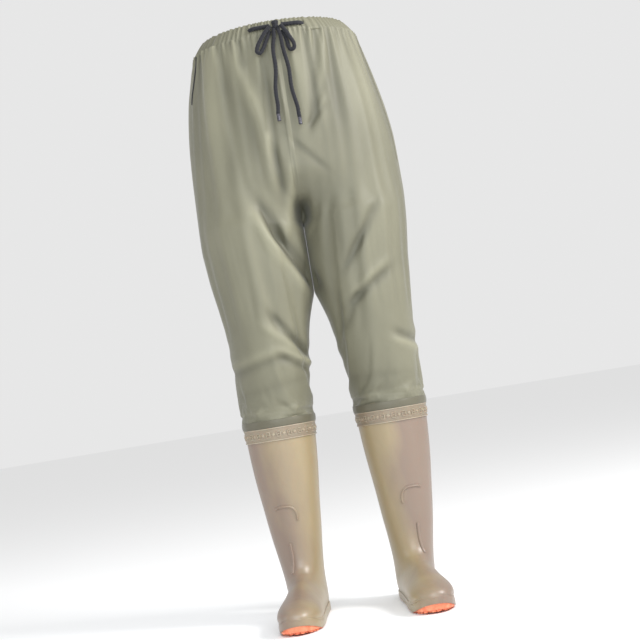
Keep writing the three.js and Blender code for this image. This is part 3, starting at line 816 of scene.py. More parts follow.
# x and height of one end, x and height of the other end, depth and width, all in millimetres
FRONT_CREASES = [
    (-72, 1031, -54, 958, 3.0, 12), (-54, 958, -41, 886, 3.5, 13), (-41, 886, -40, 820, 3.0, 13),
    (-120, 1050, -112, 880, 2.5, 16), (76, 1049, 54, 940, -3.0, 11), (86, 1040, 70, 950, 2.5, 10),
    (-26, 970, -31, 860, -3.6, 9), (-31, 860, -27, 806, -3.6, 8), (-108, 985, -112, 870, -3.4, 13),
    (-9, 812, -31, 724, 3.2, 10), (72, 962, 47, 908, -2.4, 8), (47, 908, 68, 928, -1.6, 6),
    (18, 863, 47, 831, -2.2, 7), (-66, 756, -43, 700, -6.0, 10), (-43, 700, -6, 634, -7.0, 12),
    (-84, 748, -58, 690, 4.0, 12), (-58, 690, -26, 634, 3.6, 12),
    (130, 728, 99, 682, -3.0, 9), (99, 682, 72, 645, -3.2, 9),
    (126, 609, 76, 577, -3.6, 9), (122, 622, 84, 594, 2.4, 9), (54, 538, 74, 572, -2.4, 9),
    (-77, 556, -45, 514, -4.0, 8), (-45, 514, -33, 492, -3.5, 7), (-92, 540, -60, 510, 2.6, 9),
    (-63, 493, -31, 474, 3.4, 7), (-66, 481, -34, 462, -3.2, 7), (-34, 474, -29, 450, 3.0, 6),
    (-164, 488, -100, 499, 2.0, 9), (-160, 474, -86, 486, -2.0, 9), (-150, 428, -70, 440, -1.0, 10),
    (150, 498, 178, 484, -3.2, 8), (146, 482, 178, 468, 3.4, 9), (60, 430, 140, 424, -0.8, 9)]
BACK_CREASES = [
    (-110, 790, -40, 742, -4.0, 12), (-96, 770, -30, 720, 3.0, 10), (108, 796, 44, 748, -4.0, 12),
    (92, 772, 26, 722, 3.0, 10), (-150, 520, -60, 500, -3.2, 10), (-146, 498, -64, 482, 3.0, 9),
    (-152, 476, -58, 466, -3.0, 9), (60, 512, 150, 520, -3.2, 10), (62, 492, 148, 500, 3.0, 9),
    (58, 470, 152, 476, -3.0, 9), (-70, 1030, -52, 900, 2.6, 14), (60, 1040, 48, 910, 2.6, 14)]
FOLD_DEPTH = 1.2  # each crease is this many times as deep as its number says
HOLLOW_DEPTH = 75 * MM  # how far the front sinks in between the thighs


def crease_height(x, height, creases):
    """Sum of the creases' relief in metres at points given by x and height in millimetres."""
    relief = np.zeros(len(x))
    for x1, h1, x2, h2, depth, width in creases:
        run = np.array((x2 - x1, h2 - h1))
        length = np.hypot(*run)
        along = ((x - x1) * run[0] + (height - h1) * run[1]) / length
        across = ((x - x1) * run[1] - (height - h1) * run[0]) / length
        beyond = np.maximum(np.maximum(-along, along - length), 0)
        fade = 0.3 * length + width
        relief += FOLD_DEPTH * depth * np.exp(-(across / width) ** 2 - (beyond / fade) ** 2)
    return relief * MM


points = np.empty(len(fine_cloth.vertices) * 3)
fine_cloth.vertices.foreach_get("co", points)
points = points.reshape(-1, 3)
normals = np.empty(len(points) * 3)
fine_cloth.vertices.foreach_get("normal", normals)
normals = normals.reshape(-1, 3)
heights = height_of(points[:, 2])
x = points[:, 0] / MM
facing = ease(0.5 - points[:, 1] / 0.05)  # 1 on the front, 0 on the back
relief = puckers(np.arctan2(points[:, 0], -points[:, 1]), SEAM_TOP - heights)
relief *= ease((heights - 760) / 60)
relief += facing * crease_height(x, heights, FRONT_CREASES)
relief += (1 - facing) * crease_height(x, heights, BACK_CREASES)
relief += 1.5 * MM * np.exp(-((heights - HEM - 14) / 4) ** 2)
relief *= ease(np.abs(x) / 6 + 0.15)
hollow = ease((5 - points[:, 1] / MM) / 115)  # deepest in front, nothing at the crotch seam
hollow *= np.exp(-((x - 3) / 10) ** 2 - np.abs((heights - 752) / 20) ** 3)
relief *= np.clip((heights - HEM_END) / 14, 0, 1)
points += normals * relief[:, None]
points[:, 1] += HOLLOW_DEPTH * hollow
# Painted shade and light for the cloth's colour: valleys and the hollow between the thighs darken
# it, ridges lighten it.
fold = fine_cloth.attributes.new("fold", "FLOAT", "POINT")
fold.data.foreach_set("value", np.clip(relief / (16 * MM) - 0.9 * hollow, -0.5, 0.3))
leg_side = np.sign(x)
points[:, 0] = np.where((leg_side * points[:, 0] < TOUCH * MM) & (np.abs(x) > 0.05)
                        & (heights < 900), leg_side * TOUCH * MM, points[:, 0])
fine_cloth.vertices.foreach_set("co", points.ravel())
fine_cloth.update()
print(f"relief from {relief.min() / MM:.1f} to {relief.max() / MM:.1f} mm")

# %% [markdown]
# ### Thickness, and four pieces
# The waders bend at the hips and at the knees, and a piece in this frame follows at most two
# bodies. So the cloth is cut at the rise and at mid-thigh into a seat piece and a knee piece for
# each leg, after it has got its thickness. The cuts lie where nothing bends, and the pieces keep
# the shading normals of the uncut cloth, so no line shows. The pieces are not attached to any
# body here.

# %% Thickness and cuts
CUT_HEIGHT = 610
THICKNESS = 0.9 * MM
LONGEST_EDGE = 60 * MM  # no edge of the cloth is as long as this

fine_normals = np.empty(len(points) * 3)
fine_cloth.vertices.foreach_get("normal", fine_normals)
keep = fine_cloth.attributes.new("whole_normal", "FLOAT_VECTOR", "POINT")
keep.data.foreach_set("vector", fine_normals)
sheet_area = sum(face.area for face in fine_cloth.polygons)
print(f"cloth area {sheet_area:.3f} m2")


def sheet_part(name, belongs):
    """The faces of the cloth whose middle passes the test, with thickness and whole normals."""
    part = bmesh.new()
    part.from_mesh(fine_cloth)
    others = [face for face in part.faces if not belongs(face.calc_center_median())]
    bmesh.ops.delete(part, geom=others, context="FACES")
    area = sum(face.calc_area() for face in part.faces)
    bmesh.ops.solidify(part, geom=part.faces, thickness=THICKNESS)
    for vertex in part.verts:  # a corner folded too tightly for its thickness goes back in line
        if max(edge.calc_length() for edge in vertex.link_edges) > LONGEST_EDGE:
            near = [edge.other_vert(vertex).co for edge in vertex.link_edges]
            vertex.co = sum(near, Vector()) / len(near)
    mesh = bpy.data.meshes.new(name)
    part.to_mesh(mesh)
    part.free()
    kept = np.empty(len(mesh.vertices) * 3)
    mesh.attributes["whole_normal"].data.foreach_get("vector", kept)
    kept = kept.reshape(-1, 3)
    corner = np.empty(len(mesh.loops), int)
    mesh.loops.foreach_get("vertex_index", corner)
    face_normals = np.empty(len(mesh.polygons) * 3)
    mesh.polygons.foreach_get("normal", face_normals)
    face_normals = face_normals.reshape(-1, 3)
    sizes = np.empty(len(mesh.polygons), int)
    mesh.polygons.foreach_get("loop_total", sizes)
    face_of = np.repeat(np.arange(len(sizes)), sizes)
    turned = np.einsum("ij,ij->i", kept[corner], face_normals[face_of])
    rim = np.abs(turned) < 0.35
    corner_normals = np.where(rim[:, None], face_normals[face_of],
                              kept[corner] * np.sign(turned)[:, None])
    inside = np.zeros(len(sizes), int)
    np.maximum.at(inside, face_of, (turned < -0.35).astype(int))
    mesh.polygons.foreach_set("material_index", inside)
    mesh.attributes.remove(mesh.attributes["whole_normal"])
    mesh.normals_split_custom_set(corner_normals.tolist())
    piece = bpy.data.objects.new(name, mesh)
    bpy.context.scene.collection.objects.link(piece)
    mesh.materials.append(coated_fabric)
    mesh.materials.append(fabric_inside)
    print(f"{name}: {len(mesh.polygons)} faces, {area:.3f} m2")
    return piece, area


for name, side in SIDES.items():
    seat, seat_area = sheet_part(f"seat_{name}", lambda middle: middle.x * side > 0
                                 and height_of(middle.z) > CUT_HEIGHT)
    knee, knee_area = sheet_part(f"knee_{name}", lambda middle: middle.x * side > 0
                                 and height_of(middle.z) <= CUT_HEIGHT)
    start = Vector((0, 0, up(745)))
    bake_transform(seat)
    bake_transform(knee)
    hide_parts(*(f"{node}_{name}" for node in (
        "front_panel", "back_panel", "hip_fold", "thigh_front", "thigh_back")))
    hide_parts(f"knee_fold_{name}", f"shin_sleeve_{name}")

# %% [markdown]
# ## The waist casing
# The casing is a folded strip of the same nylon with the elastic and the string inside. The
# elastic gathers it into a ring of tight puckers with a frilled upper edge. A rounded section is
# spun once round into a ring, and then every point is moved out to the oval of the waist, with
# the puckers' waves added. The waves keep the same places as the gathers below the seam.

# %% Gathered casing
CASING_DEEP = 17.0  # the CAD casing's depth, which leaves room for the elastic and the string
CASING_STEPS = 600
# distance inwards from the outer face and height above the seam, anticlockwise
CASING_SECTION = [
    (1.6, -0.4), (0.6, 2.0), (0.1, 6.0), (0.0, 12.0), (0.2, 18.0), (0.9, 21.5), (1.2, 23.2),
    (1.4, 25.0), (2.4, 25.3), (4.5, 24.2), (9.0, 24.0), (13.5, 24.0), (16.2, 22.4),
    (CASING_DEEP, 18.0), (CASING_DEEP, 7.0), (15.8, 1.8), (11.0, 0.2), (5.0, -0.6)]


def casing_ring():
    """The closed ring of the casing, gathered."""
    ring = bmesh.new()
    section = [ring.verts.new((1 - inward / 1000, 0, above / 1000))
               for inward, above in CASING_SECTION]
    edges = [ring.edges.new(pair) for pair in zip(section, section[1:] + section[:1])]
    bmesh.ops.spin(ring, geom=section + edges, cent=(0, 0, 0), axis=(0, 0, 1),
                   angle=2 * math.pi, steps=CASING_STEPS, use_merge=True)
    bmesh.ops.remove_doubles(ring, verts=ring.verts, dist=1e-6)

    def gather(points):
        angle = np.arctan2(points[:, 0], -points[:, 1])
        inward = (1 - np.hypot(points[:, 0], points[:, 1])) * 1000
        above = points[:, 2] * 1000
        half, middle, deep = through(SEAT[:, 0], SEAT[:, 1:], WAIST_SEAM + np.clip(above, 0, 25)).T
        seen_at = np.arctan2(half * np.sin(angle), deep * np.cos(angle) - middle)
        uneven = drifted(seen_at)
        near_seam = np.exp(-np.maximum(above, 0) / 7)
        near_top = np.exp(-np.maximum(25 - above, 0) / 6)
        outside = np.exp(-inward / 4)
        inside = np.exp(-(CASING_DEEP - inward) / 3)
        wave = 1.25 * np.cos(86 * uneven) + 0.4 * np.cos(172 * uneven + 0.6)
        wave *= 0.85 + 0.3 * np.sin(9 * angle + 2) * np.sin(4 * angle)
        half_wave = np.cos(43 * uneven + 0.8)
        out = (1 - near_seam) * (wave * (0.9 + 0.5 * near_top) + 0.5 * half_wave)
        out += near_seam * (puckers(seen_at, 1.0) / MM + 1.3)  # over the edge of the cloth
        out *= outside
        out -= inside * (0.9 * np.cos(86 * uneven + 0.9))
        lift = (above > 20) * (0.5 * np.sin(86 * uneven + 1.0) + 0.3 * half_wave)
        lean = WAIST_SEAM + above - SEAT[-1, 0]
        half, deep = half - lean * 0.72, deep - lean * 0.14
        place = np.empty_like(points)
        place[:, 0] = (half - inward + out) * np.sin(angle) * MM
        place[:, 1] = (middle - (deep - inward + out) * np.cos(angle)) * MM
        place[:, 2] = up(WAIST_SEAM) + (above + lift) * MM
        return place

    reshape(ring, gather)
    bmesh.ops.recalc_face_normals(ring, faces=ring.faces)
    return ring


casing = make_piece("waist_casing_gathered", casing_ring(), coated_fabric,
                    "waist", ("waist_casing",), sharp=180)

# %% [markdown]
# ### Buttonholes
# The string leaves the casing through two upright buttonholes. Each one is edged with close
# stitches, which make a raised oval of thread on the casing.

# %% Buttonholes
OVAL_WIDE, OVAL_HIGH = 3.9, 5.6  # half the size of a buttonhole's edge, in millimetres
casing_tree = BVHTree.FromPolygons([vertex.co for vertex in casing.data.vertices],
                                   [face.vertices for face in casing.data.polygons])
for name in SIDES:
    middle_x, _, height = ROUTES["drawstring_run_" + name][0]
    oval = []
    for angle in np.linspace(0, 2 * np.pi, 49):
        start = Vector(((middle_x + OVAL_WIDE * math.cos(angle)) * MM, -0.3,
                        up(height + OVAL_HIGH * math.sin(angle))))
        oval.append(casing_tree.ray_cast(start, Vector((0, 1, 0)))[0])
    edge = string_tube(np.array(oval), 1.5 * MM, sides=10, plaits=1, turn=2400)
    make_piece("buttonhole_edge_" + name, edge, coated_fabric, "waist", sharp=180)

# %% [markdown]
# ## The boots
# A boot is a tube that turns from the leg into the foot. It is lofted through rings, each given
# by a point on the front line, a point on the back line, which becomes the underside, and a half
# width. Between the stations the three values follow smooth curves, so a dozen stations make the
# whole boot. Rings under the foot are made squarer, because a foot is flat below.

# %% Stations of a boot, in millimetres
# front line (y, height), back and bottom line (y, height), half width
BOOT = np.array([
    (-60, 380, 80, 380, 67.0), (-59, 350, 79, 350, 66.4), (-52, 282, 76, 282, 61.7),
    (-44, 213, 72, 213, 54.0), (-40, 168, 70, 165, 49.0), (-38, 130, 70.5, 118, 43.5),
    (-41, 105, 74, 78, 39.5), (-48, 92, 81, 48, 37.5), (-58, 85, 84, 22, 36.5),
    (-70, 79, 80, 9, 35.0), (-86, 74, 45, 7.5, 35.0), (-106, 68, -20, 7.5, 36.5),
    (-128, 62.5, -80, 7.5, 39.5), (-148, 57.5, -116, 8.5, 40.0), (-165, 52, -142, 11.5, 36.5),
    (-178, 46, -164, 16, 29.0), (-186, 39, -179, 20.5, 19.5), (-189, 31, -187, 25, 9.0)], float)
ANKLE_X = 105.3
TOE_OUT = math.radians(6)
BOOT_SIDES, BOOT_RINGS = 96, 150
SHAFT_TOP_X = 107.5


def boot_point(share, along):
    """A point of the +X boot: share of the way round from the front, station number."""
    front_y, front_z, back_y, back_z, wide = through(np.arange(len(BOOT)), BOOT, along).T
    angle = 2 * np.pi * share
    flat = ease((along - 6) / 4)  # 0 on the leg, 1 on the foot
    cosine, sine = np.cos(angle), np.sin(angle)
    rise = ((1 + cosine) / 2) ** (1 + 0.35 * flat)  # a foot is widest low down
    y = back_y + (front_y - back_y) * rise
    z = back_z + (front_z - back_z) * rise
    x = wide * np.sign(sine) * np.abs(sine) ** (1 - np.where(cosine < 0, 0.55, 0.05) * flat)
    turn = TOE_OUT * ease((150 - z) / 110)
    turned_x = x * np.cos(turn) - y * np.sin(turn)
    turned_y = x * np.sin(turn) + y * np.cos(turn)
    centre = through([0, 120, 220, 380], [ANKLE_X, ANKLE_X + 1, SHAFT_TOP_X, 106.5], z)
    return np.stack([(turned_x + centre) * MM, turned_y * MM, GROUND + z * MM], axis=-1)


def boot_skin(side):
    """The outer skin of one boot, open at the top."""
    skin = bmesh.new()
    bmesh.ops.create_grid(skin, x_segments=BOOT_SIDES, y_segments=BOOT_RINGS, size=0.5)
    last = len(BOOT) - 1
    reshape(skin, lambda grid: boot_point(grid[:, 0] + 0.5, (grid[:, 1] + 0.5) * last))
    bmesh.ops.remove_doubles(skin, verts=skin.verts, dist=2e-5)
    toe = [edge for edge in skin.edges
           if edge.is_boundary and height_of(edge.verts[0].co.z) < 200]
    bmesh.ops.holes_fill(skin, edges=toe, sides=0)
    if side < 0:
        bmesh.ops.scale(skin, verts=skin.verts, vec=(-1, 1, 1))
    bmesh.ops.recalc_face_normals(skin, faces=skin.faces)
    return skin


skins = {name: boot_skin(side) for name, side in SIDES.items()}
skin_trees = {name: BVHTree.FromBMesh(skin) for name, skin in skins.items()}
print("boot skin faces:", len(skins["right"].faces))

# %% [markdown]
# ### Walls, bands and guards from the same skin
# The skin is used again for everything that hugs the boot. A copy is cut to a stretch of height
# with two bisecting planes, pushed out or in along its normals, and given a thickness. That makes
# the wall of the boot itself, its lining, the band at its top and the hem tape. Towards the toe
# the joint with the sole rises, and `toe_lift` says by how much.


# %% A shell from the skin
def toe_lift(y):
    """How far the joint with the sole has risen towards the toe at Y in metres."""
    return 17 * MM * np.clip((-136 * MM - y) / (52 * MM), 0, 1) ** 1.3


def shell(name, low, high, push, thickness, rounded=0.0):
    """A stretch of the boot between two heights, pushed out and given a wall, in millimetres."""
    part = skins[name].copy()
    for height, drop_above in ((low, False), (high, True)):
        geometry = part.verts[:] + part.edges[:] + part.faces[:]
        bmesh.ops.bisect_plane(part, geom=geometry, plane_co=(0, 0, up(height)),
                               plane_no=(0, 0, 1), clear_outer=drop_above,
                               clear_inner=not drop_above)
    part.normal_update()
    for vertex, normal in [(vertex, vertex.normal.copy()) for vertex in part.verts]:
        vertex.co += normal * (push + thickness) * MM
    bmesh.ops.solidify(part, geom=part.faces, thickness=thickness * MM)
    if rounded:
        rims = [edge for edge in part.edges if edge.calc_face_angle(0) > 1.0]
        bmesh.ops.bevel(part, geom=rims, offset=rounded * MM, segments=2, profile=0.5,
                        affect="EDGES", material=-1)
    bmesh.ops.recalc_face_normals(part, faces=part.faces)
    return part


BOOT_WALL = 2.6
for name in SIDES:
    body = name + "_boot"
    make_piece("boot_shell_" + name, shell(name, 0, HEM - 1, -BOOT_WALL, BOOT_WALL, rounded=0.4),
               boot_pvc, body, ("boot_upper_" + name,), sharp=50)
    make_piece("boot_lining_knit_" + name, shell(name, 120, HEM - 3, -BOOT_WALL - 1.6, 1.3),
               lining_knit, body, ("boot_lining_" + name,), sharp=50)


# %% [markdown]
# ### Hem tape and the band below it
# The trouser leg is turned up over a tape and welded to the boot. The tape is a darker, slightly
# puffy roll with a fine ridge along its upper edge. Below it the boot carries a moulded band with
# a raised edge above and below, and between them a plain repeating relief of keys and diamonds.


# %% Hem tape
def puffed(part, low, high, swell, ripple):
    """Swells a band between its edges, with an uneven ripple along it."""
    middle, half = (low + high) / 2, (high - low) / 2
    for vertex in part.verts:
        t = (height_of(vertex.co.z) - middle) / half
        angle = math.atan2(vertex.co.y, vertex.co.x)
        around = 1 + ripple * math.sin(37 * angle + 2 * math.sin(5 * angle))
        vertex.co += Vector(vertex.normal) * max(0, 1 - t * t) * swell * around * MM
    return part


for name in SIDES:
    body = name + "_boot"
    tape = shell(name, TAPE_BOTTOM, HEM - 2, 0.3, 2.6, rounded=0.7)
    tape.normal_update()
    make_piece("hem_tape_sewn_" + name, puffed(tape, TAPE_BOTTOM, HEM, 0.9, 0.3), hem_finish,
               body, ("hem_tape_" + name,), sharp=60)

# %% Band with its relief
BAND_TOP = TAPE_BOTTOM - 0.3
RIDGE = 2.0  # height of the raised edges


def on_skin(name, angle, height, out):
    """A point this far off the boot's skin, and the skin's normal there."""
    side = SIDES[name]
    axis = Vector((side * SHAFT_TOP_X * MM, 10 * MM, up(height)))
    away = Vector((math.sin(angle), -math.cos(angle), 0))
    hit, normal, _, _ = skin_trees[name].ray_cast(axis + away * 0.3, -away)
    return hit + normal * out * MM, normal


def relief_mark(marks, size, corner_turn, place, normal):
    """Adds a small bevelled lozenge or bar to `marks`, standing on the band."""
    across = Vector((0, 0, 1)).cross(normal).normalized()
    upward = normal.cross(across)
    stand = Matrix((across, upward, normal)).transposed().to_4x4()
    made = bmesh.ops.create_cube(marks, size=1, matrix=Matrix.Translation(place) @ stand
                                 @ Matrix.Rotation(corner_turn, 4, "Z")
                                 @ Matrix.Diagonal((*(value * MM for value in size), 1)))
    top = [vertex for vertex in made["verts"] if (vertex.co - place).dot(normal) > 0]
    centre = sum((vertex.co for vertex in top), Vector()) / len(top)
    for vertex in top:
        vertex.co = centre + (vertex.co - centre) * 0.72


MARKS_AROUND = 44
for name in SIDES:
    body = name + "_boot"
    band = shell(name, BAND_BOTTOM, BAND_TOP, 0.3, 1.1, rounded=0.3)
    marks = bmesh.new()
    for low, high in ((BAND_BOTTOM, BAND_BOTTOM + RIDGE), (BAND_TOP - RIDGE, BAND_TOP)):
        put_in(marks, shell(name, low, high, 1.2, 1.3, rounded=0.5))
    make_piece("boot_band_" + name, band, band_pvc, body,
               ("boot_top_band_" + name,), sharp=50)
    middle = (BAND_BOTTOM + BAND_TOP) / 2
    for number in range(MARKS_AROUND):
        turn = 2 * math.pi * number / MARKS_AROUND
        if number % 2:
            relief_mark(marks, (5.4, 5.4, 1.7), math.pi / 4, *on_skin(name, turn, middle, 1.9))
            relief_mark(marks, (2.4, 2.4, 2.4), math.pi / 4, *on_skin(name, turn, middle, 1.9))
        else:
            for rise, wide in ((-4.8, 7.6), (0.0, 3.6), (4.8, 7.6)):
                relief_mark(marks, (wide, 1.6, 1.7), 0,
                            *on_skin(name, turn, middle + rise, 1.9))
            for shift in (-0.045, 0.045):
                relief_mark(marks, (1.6, 8.0, 1.7), 0, *on_skin(name, turn + shift, middle, 1.9))
    make_piece("boot_band_relief_" + name, marks, relief_pvc, body, sharp=30)

# %% [markdown]
# ### Foxing, toe guard and shin ridges
# A strip called the foxing covers the joint between the upper and the sole, and a second, narrow
# strip guards the toe. Both run along the boot's outline in plan, which is found by casting rays
# at the foot while its toe is pressed flat. The mould also leaves raised lines on the shin: a
# bracket over the ankle and an upright rib on the outer side. They are thin round cords, half
# sunk in the skin.

# %% Outline of the foot, foxing and toe guard
OUTLINE_POINTS = 180
WIDEST = SOLE_TOP + 12.5  # where a foot is widest, while its toe is pressed flat


def foot_outline(name):
    """The boot's outline in plan, as points in order, where the foot is widest."""
    pressed = skins[name].copy()
    for vertex in pressed.verts:
        vertex.co.z -= toe_lift(vertex.co.y)
    tree = BVHTree.FromBMesh(pressed)
    pressed.free()
    centre = Vector((SIDES[name] * (ANKLE_X + 5) * MM, -50 * MM, up(WIDEST)))
    outline = []
    for angle in np.linspace(0, 2 * np.pi, OUTLINE_POINTS, endpoint=False):
        away = Vector((math.sin(angle) * 0.35, -math.cos(angle), 0)).normalized()
        outline.append(tree.ray_cast(centre + away * 0.4, -away)[0].xy)
    return np.array(outline)


def wall_round(outline, rows, thickness):
    """A wall that follows an outline. Rows give the push outwards and the height, by y."""
    wall = bmesh.new()
    count = len(outline)
    ahead = np.roll(outline, -1, axis=0) - np.roll(outline, 1, axis=0)
    outward = np.stack([ahead[:, 1], -ahead[:, 0]], axis=1)
    outward /= np.linalg.norm(outward, axis=1)[:, None]
    if ((outline - outline.mean(axis=0)) * outward).sum() < 0:
        outward = -outward
    bmesh.ops.create_grid(wall, x_segments=count, y_segments=len(rows) - 1, size=0.5)

    def place(grid):
        column = np.rint((grid[:, 0] + 0.5) * count).astype(int) % count
        row = np.rint((grid[:, 1] + 0.5) * (len(rows) - 1)).astype(int)
        push = np.array([item[0] for item in rows])[row] * MM
        flat = outline[column] + outward[column] * push[:, None]
        heights = np.array([item[1](y / MM) for item in rows for y in outline[:, 1]])
        return np.column_stack([flat, up(heights.reshape(len(rows), count)[row, column])])

    reshape(wall, place)
    bmesh.ops.remove_doubles(wall, verts=wall.verts, dist=1e-5)
    bmesh.ops.recalc_face_normals(wall, faces=wall.faces)
    bmesh.ops.solidify(wall, geom=wall.faces, thickness=thickness * MM)
    return wall


def lifted(height):
    """A height along the foot that follows the rise of the toe."""
    return lambda y: height + float(toe_lift(y * MM)) / MM


outlines = {name: foot_outline(name) for name in SIDES}
# push outwards and height of each row of the wall, from its lower edge to its upper edge
FOXING = [(0.0, lifted(2.6)), (0.9, lifted(2.8)), (1.2, lifted(4.2)), (1.2, lifted(9.0)),
          (1.3, lifted(14.0)), (0.8, lifted(16.0)), (-0.3, lifted(17.2))]
GUARD = [(-0.2, lifted(16.6)), (0.7, lifted(17.4)), (0.6, lifted(19.6)), (-0.6, lifted(21.0))]
for name in SIDES:
    body = name + "_boot"
    make_piece("foxing_" + name, wall_round(outlines[name], FOXING, 2.0), boot_pvc,
               body, sharp=60)
    guard = wall_round(outlines[name], GUARD, 1.6)
    behind = [vertex for vertex in guard.verts if vertex.co.y > -112 * MM]
    bmesh.ops.delete(guard, geom=behind, context="VERTS")
    bmesh.ops.holes_fill(guard, edges=[edge for edge in guard.edges if edge.is_boundary], sides=0)
    bmesh.ops.recalc_face_normals(guard, faces=guard.faces)
    make_piece("toe_guard_strip_" + name, guard, boot_pvc, body,
               ("toe_guard_" + name,), sharp=60)


# %% Shin ridges
def front_of_boot(name, x, height):
    """The point of the skin in front at an X distance from the boot's middle, outwards."""
    side = SIDES[name]
    start = Vector((side * (ANKLE_X + 1.5 + x) * MM, -0.4, up(height)))
    return skin_trees[name].ray_cast(start, Vector((0, 1, 0)))[0]


# distance outwards from the boot's middle, and height
BRACKET = [(29, 212), (23, 214.5), (12, 215), (3, 214), (-3, 210), (-7, 203), (-8.5, 194),
           (-8, 187)]
RIB = [(13, 146), (12.5, 136), (12, 124), (12.5, 112), (14, 101), (17, 91)]


def ridge_on(name, corners, width):
    """A tapered half-sunk cord over the front of a boot."""
    corners = np.array(corners, float)
    run = np.concatenate([[0], np.cumsum(np.linalg.norm(np.diff(corners, axis=0), axis=1))])
    fine = through(run, corners, np.linspace(0, run[-1], 60))
    path = np.array([front_of_boot(name, x, height) for x, height in fine]) - (0, 0.4 * MM, 0)
    return string_tube(path, width * MM, sides=12, plaits=0, turn=0)


for name in SIDES:
    ridges = ridge_on(name, BRACKET, 3.8)
    put_in(ridges, ridge_on(name, RIB, 4.2))
    make_piece("shin_ridges_" + name, ridges, boot_pvc, name + "_boot", sharp=180)

# %% [markdown]
# ### Outsole
# The sole is one plate with a hollow under the arch and a tread of bars. Its outline is
# the boot's own outline. The ring of edges is filled and extruded down, its rims are bevelled, and
# rows of small bars stand under it. At the toe it shows its rounded front below the foxing.

# %% Outsole
LUG = 3.0
ARCH = (-46, 6)  # Y range of the hollow, in millimetres


def sole(name):
    """The plate of one sole, with its toe still flat."""
    plate = bmesh.new()
    ring = [plate.verts.new((*point, up(SOLE_TOP + 1))) for point in outlines[name]]
    for pair in zip(ring, ring[1:] + ring[:1]):
        plate.edges.new(pair)
    centre = sum((vertex.co for vertex in plate.verts), Vector()) / len(plate.verts)
    filled = bmesh.ops.contextual_create(plate, geom=plate.edges[:])["faces"]
    made = bmesh.ops.extrude_face_region(plate, geom=filled)["geom"]
    bottom = [item for item in made if isinstance(item, bmesh.types.BMVert)]
    for vertex in bottom:
        vertex.co.z = up(LUG)
        inward = centre - vertex.co
        vertex.co.x += inward.x * 0.03
        vertex.co.y += inward.y * 0.008
    rims = [edge for edge in plate.edges if edge.calc_face_angle(0) > 1.0]
    bmesh.ops.bevel(plate, geom=rims, offset=1.2 * MM, segments=3, profile=0.5,
                    affect="EDGES", material=-1)
    return plate


for name, side in SIDES.items():
    plate = sole(name)
    caps = [face for face in plate.faces if len(face.verts) > 8]
    bmesh.ops.triangulate(plate, faces=caps)
    tree = BVHTree.FromBMesh(plate)
    for row in range(-22, 11):
        y = row * 8.2
        if ARCH[0] < y < ARCH[1]:
            continue
        for column in range(-6, 7):
            x = side * ANKLE_X - y * math.tan(side * TOE_OUT) + column * 8.4 + (row % 2) * 4.2
            corners = [(x + dx, y + dy) for dx in (-3.4, 3.4) for dy in (-3.0, 3.0)]
            under = [tree.ray_cast(Vector((cx * MM, cy * MM, up(-20))), Vector((0, 0, 1)))[0]
                     for cx, cy in corners]
            if any(hit is None or hit.z > up(LUG + 0.4) for hit in under):
                continue
            bmesh.ops.create_cube(plate, size=1, matrix=Matrix.Translation(
                (x * MM, y * MM, up(LUG / 2))) @ Matrix.Rotation(0.5 * (-1) ** row, 4, "Z")
                @ Matrix.Diagonal((6.4 * MM, 3.4 * MM, LUG * MM, 1)))
    for vertex in plate.verts:
        height = height_of(vertex.co.z)
        low = min(max((SOLE_TOP - 1 - height) / (SOLE_TOP - LUG - 2), 0), 1)
        y = vertex.co.y / MM
        hollow = ease((y - ARCH[0]) / 10) * ease((ARCH[1] - y) / 10)
        vertex.co.z += float(hollow) * low * 2.8 * MM
        vertex.co.z += float(toe_lift(vertex.co.y)) * (1 - 0.72 * low)
        vertex.co.y += low * 4 * MM * min(max((-128 - y) / 60, 0), 1)
    bmesh.ops.recalc_face_normals(plate, faces=plate.faces)
    make_piece("outsole_tread_" + name, plate, sole_rubber, name + "_boot",
               ("outsole_" + name,), sharp=40)

# %% [markdown]
# ## Seams of the trousers
# Where two panels meet, the seam is felled: both edges are folded to one side and sewn down in
# two rows. It shows as a narrow raised strip. The strip's points are found by casting rays at the
# cloth, so it lies exactly on it.

# %% Felled seams
cloth_tree = BVHTree.FromPolygons([tuple(point) for point in points],
                                  [tuple(face.vertices) for face in fine_cloth.polygons])


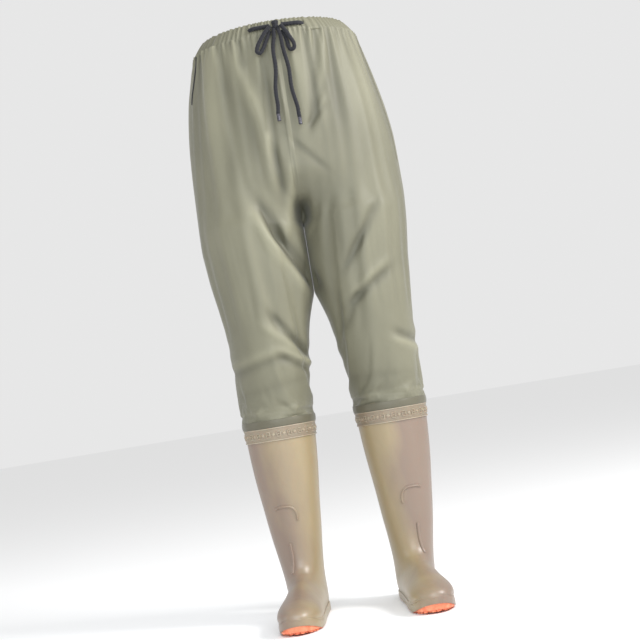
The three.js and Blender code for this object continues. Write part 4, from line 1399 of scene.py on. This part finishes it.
def seam_strip(line, aim, width, columns=6, thick=0.65):
    """A strip over the cloth. `line` gives start points, and rays run along `aim` to the cloth."""
    strip = bmesh.new()
    bmesh.ops.create_grid(strip, x_segments=columns, y_segments=len(line) - 1, size=0.5)
    rows = len(line) - 1
    for vertex in strip.verts:
        row = round((vertex.co.y + 0.5) * rows)
        start, across = line[row]
        shift = vertex.co.x * width * MM
        hit = cloth_tree.ray_cast(start + across * shift, aim(start))[0]
        crown = 0.25 + 0.75 * (1 - (2 * vertex.co.x) ** 4)
        groove = 0.35 * math.exp(-(vertex.co.x / 0.12) ** 2)
        vertex.co = hit - aim(start) * (crown - groove) * thick * MM
    bmesh.ops.recalc_face_normals(strip, faces=strip.faces)
    bmesh.ops.solidify(strip, geom=strip.faces, thickness=0.5 * MM)
    return strip


SEAM_STEPS = 110
front_line = [(Vector(((3.5 - 3 * t) * MM, -0.3, up(WAIST_SEAM - 2 - t * 285))), Vector((1, 0, 0)))
              for t in np.linspace(0, 1, SEAM_STEPS)]
make_piece("front_rise_seam", seam_strip(front_line, lambda start: Vector((0, 1, 0)), 11),
           coated_fabric, "waist", ("front_seam_strip",), sharp=50)
back_line = [(Vector((0, 0.3, up(WAIST_SEAM - 2 - t * 285))), Vector((1, 0, 0)))
             for t in np.linspace(0, 1, SEAM_STEPS)]
make_piece("back_rise_seam", seam_strip(back_line, lambda start: Vector((0, -1, 0)), 11),
           coated_fabric, "waist", ("back_seam_strip",), sharp=50)
for name, side in SIDES.items():
    side_line = [(Vector((side * 0.3, -12 * MM, up(WAIST_SEAM - 2 - t * 250))), Vector((0, 1, 0)))
                 for t in np.linspace(0, 1, SEAM_STEPS)]
    make_piece("side_seam_" + name, seam_strip(side_line, lambda start: Vector((-side, 0, 0)), 9),
               coated_fabric, "waist", sharp=50)

# %% [markdown]
# ### A dark cord for the shadow of the left side seam
# On the viewer's left a thin dark cord is laid along the upper part of the side, as a painted
# shadow of the side seam. It is a narrow cord that lies half in the cloth.

# %% Painted shadow of the side seam
starts = [Vector((-0.3, y * MM, up(height)))
          for y, height in zip(np.linspace(-44, -30, 50), np.linspace(1078, 992, 50))]
on_cloth = np.array([cloth_tree.ray_cast(start, Vector((1, 0, 0)))[0] for start in starts])
# A near-black cord painted in as the side seam's shadow.
make_piece("side_seam_shadow_cord_left", string_tube(on_cloth, 2.8 * MM, sides=12, plaits=1, turn=900),
           drawstring_braid, "waist", sharp=180)

# %% [markdown]
# ## Hidden pieces that keep their CAD shape
# The elastic, the string inside the casing and the insoles have the right shape already, so
# they only get a finish.

# %% Finishes of the CAD pieces
KEPT = {"waist_elastic": elastic_knit, "drawstring_in_casing": drawstring_braid,
        "insole_left": lining_knit, "insole_right": lining_knit}
for name, material in KEPT.items():
    mesh = bpy.data.objects[name].data
    mesh.materials.clear()
    mesh.materials.append(material)
    print("finished", name)
